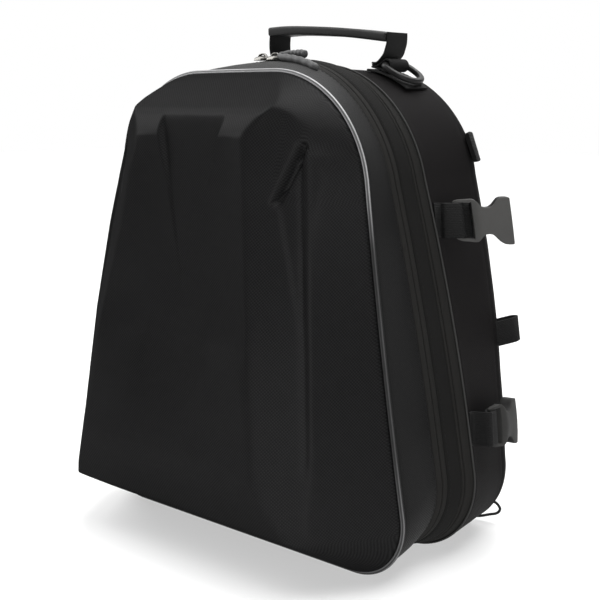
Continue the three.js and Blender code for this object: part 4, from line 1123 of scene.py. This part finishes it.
# ------------------------------------------------------------------ padded shoulder straps
PAD_ROWS = [(326, 46, 24), (285, 54, 29), (225, 70, 29), (165, 82, 26), (115, 90, 19), (90, 94, 13), (62, 99, 12.5)]
for side_name, s in (("left", -1), ("right", 1)):
    rows = np.array(PAD_ROWS, float)
    zz = np.linspace(325.5, 62.5, 80)
    order = np.argsort(rows[:, 0])
    mid = spline(rows[order][:, [1, 0, 2]], 200)
    mid = mid[np.argsort(mid[:, 1])]
    cx, hw = np.interp(zz, mid[:, 1], mid[:, 0]), np.interp(zz, mid[:, 1], mid[:, 2])
    rings, depth = [], []
    for i, z in enumerate(zz):
        thick = 2.0 + 10.4 * smooth(z, 86, 110) * (1 - 0.94 * smooth(z, 288, 318))
        ring = []
        for a in np.linspace(0, 2 * math.pi, 40, endpoint=False):
            ca, sa = math.cos(a), math.sin(a)
            x = cx[i] + hw[i] * np.sign(ca) * abs(ca) ** 0.55
            y = REAR_Y + 0.5 + thick * (0.5 + 0.5 * np.sign(sa) * abs(sa) ** (0.75 if sa > 0 else 0.3))
            ring.append((s * x, y, z))
        rings.append(ring)
        depth.append(thick)
    R, depth = np.array(rings), np.array(depth)
    u = np.repeat((325.5 - zz)[:, None], 41, 1)
    v = np.repeat(np.linspace(0, 120, 41)[None], 80, 0)
    verts, faces, uv = grid(R, u=u, v=v, cap=True)
    o = make("shoulder_pad_" + side_name, verts, faces, PAD, uv=uv, stands_for=("shoulder_strap_" + side_name,), slot="strap_pad")
    sewn = zz > 92
    for edge, w in (("inner", -1), ("outer", 1)):
        rim = np.stack([s * (cx + w * (hw - 0.3)), REAR_Y + 0.5 + depth * 0.5, zz], 1)[sewn]
        tube, tf, tuv = sweep(rim, (0, 1, 0), circle(1.5, 12))
        make(f"shoulder_binding_{edge}_{side_name}", tube, tf, WEB, uv=tuv, slot="webbing")
        inset = np.stack([s * (cx + w * (hw - 5.0)), REAR_Y + 0.5 + depth * (0.5 + 0.5 * (1 - (1 - 5.0 / hw) ** (2 / 0.55)) ** (0.5 * 0.75)) + 0.1, zz], 1)[sewn]
        stitches(STITCH, inset, (0, 1, 0), 3.0, 1.8, 0.34)
    for z in (321.0, 314.5):
        stitches(STITCH, np.array([(s * (np.interp(z, zz[::-1], cx[::-1]) + w), REAR_Y + 0.6 + np.interp(z, zz[::-1], depth[::-1]), z) for w in np.linspace(-19, 19, 14)]), (0, 1, 0), 2.6, 1.6, 0.34)

# ------------------------------------------------------------------ stitching
for side_name, s in (("left", -1), ("right", 1)):
    edge_pts = []
    for x in np.linspace(50.5, 80.5, 16):
        edge_pts.append((s * x, height_on_top(x, HANDLE_Y + 13) + 1.68))
    for dy in (-11.8, 11.8):
        stitches(STITCH, in_plane(edge_pts, HANDLE_Y + dy), (0.35 * s, 0, 1), 2.4, 1.3, 0.3)
    x_end, z_end = edge_pts[-1]
    stitches(STITCH, np.array([(x_end, HANDLE_Y + w, z_end) for w in np.linspace(-11, 11, 12)]), (0.5 * s, 0, 1), 2.4, 1.3, 0.3)


def seam_run(y, out, rows=None):
    loop = outline(row_at(y, rows), out)
    nrm = normals2(loop)
    closed = np.vstack([loop, loop[:1]])
    nclosed = np.vstack([nrm, nrm[:1]])
    stitches(STITCH, lift(closed, y), lift(nclosed, 0.0), 2.6, 1.4, 0.24)


seam_run(40.4, 0.42)
seam_run(55.0, 0.5)
STITCH.make("seam_stitching", THREAD, slot="webbing")

# ------------------------------------------------------------------ floor, light and air
floor_mat = Net("floor_pale", Base_Color=(0.40, 0.40, 0.40), Emission_Color=(1.0, 1.0, 1.0), Emission_Strength=0.5, Roughness=0.9, **{"Specular_IOR_Level": 0.1}).mat
me = bpy.data.meshes.new("floor")
me.from_pydata([(-6, -6, 0), (6, -6, 0), (6, 6, 0), (-6, 6, 0)], [], [(0, 1, 2, 3)])
me.materials.append(floor_mat)
floor = bpy.data.objects.new("floor", me)
bpy.context.scene.collection.objects.link(floor)

world = bpy.data.worlds.new("studio")
bpy.context.scene.world = world
world.use_nodes = True
tree = world.node_tree
sky = tree.nodes["Background"]
where = tree.nodes.new("ShaderNodeTexCoord")
toward = tree.nodes.new("ShaderNodeVectorMath")
toward.operation = "DOT_PRODUCT"
tree.links.new(where.outputs["Generated"], toward.inputs[0])
toward.inputs[1].default_value = (-0.67, 0.74, 0.0)
# white light from behind the bag, a darker room elsewhere, and a pale backdrop in every view
level = tree.nodes.new("ShaderNodeMapRange")
level.interpolation_type = "SMOOTHSTEP"
for k, val in ((1, 0.45), (2, 0.80), (3, 0.03), (4, 1.0)):
    level.inputs[k].default_value = val
tree.links.new(toward.outputs["Value"], level.inputs[0])
path = tree.nodes.new("ShaderNodeLightPath")
pale = tree.nodes.new("ShaderNodeMath")
pale.operation = "MAXIMUM"
tree.links.new(level.outputs[0], pale.inputs[0])
tree.links.new(path.outputs["Is Camera Ray"], pale.inputs[1])
tree.links.new(pale.outputs[0], sky.inputs[1])
sky.inputs[0].default_value = (1.0, 1.0, 1.0, 1.0)


def sun(name, direction, strength, angle, colour=(1, 1, 1)):
    data = bpy.data.lights.new(name, "SUN")
    data.energy = strength
    data.angle = math.radians(angle)
    data.color = colour
    obj = bpy.data.objects.new(name, data)
    obj.rotation_euler = (-Vector(direction)).to_track_quat("-Z", "Y").to_euler()
    obj.location = Vector(direction) * 3
    bpy.context.scene.collection.objects.link(obj)


def softbox(name, at, target, size, power, colour=(1, 1, 1)):
    data = bpy.data.lights.new(name, "AREA")
    data.shape = "RECTANGLE"
    data.size, data.size_y = size
    data.energy = power
    data.color = colour
    obj = bpy.data.objects.new(name, data)
    obj.location = at
    obj.rotation_euler = (Vector(target) - Vector(at)).to_track_quat("-Z", "Y").to_euler()
    bpy.context.scene.collection.objects.link(obj)


sun("key_overhead", (0.0, 0.40, 0.92), 3.4, 50)
sun("top_light", (0.0, 0.06, 1.0), 1.72, 50)
softbox("key_left", (-1.35, -0.66, 1.45), (0.0, -0.02, 0.28), (1.2, 1.5), 44.0)
softbox("key_right", (0.70, -0.25, 1.50), (0.05, -0.02, 0.30), (0.6, 0.6), 5.5)
softbox("fill_front", (1.30, -1.15, 0.42), (0.02, 0.0, 0.2), (0.9, 0.9), 12.0)

bpy.context.scene.view_settings.view_transform = "Standard"
bpy.context.scene.view_settings.look = "None"
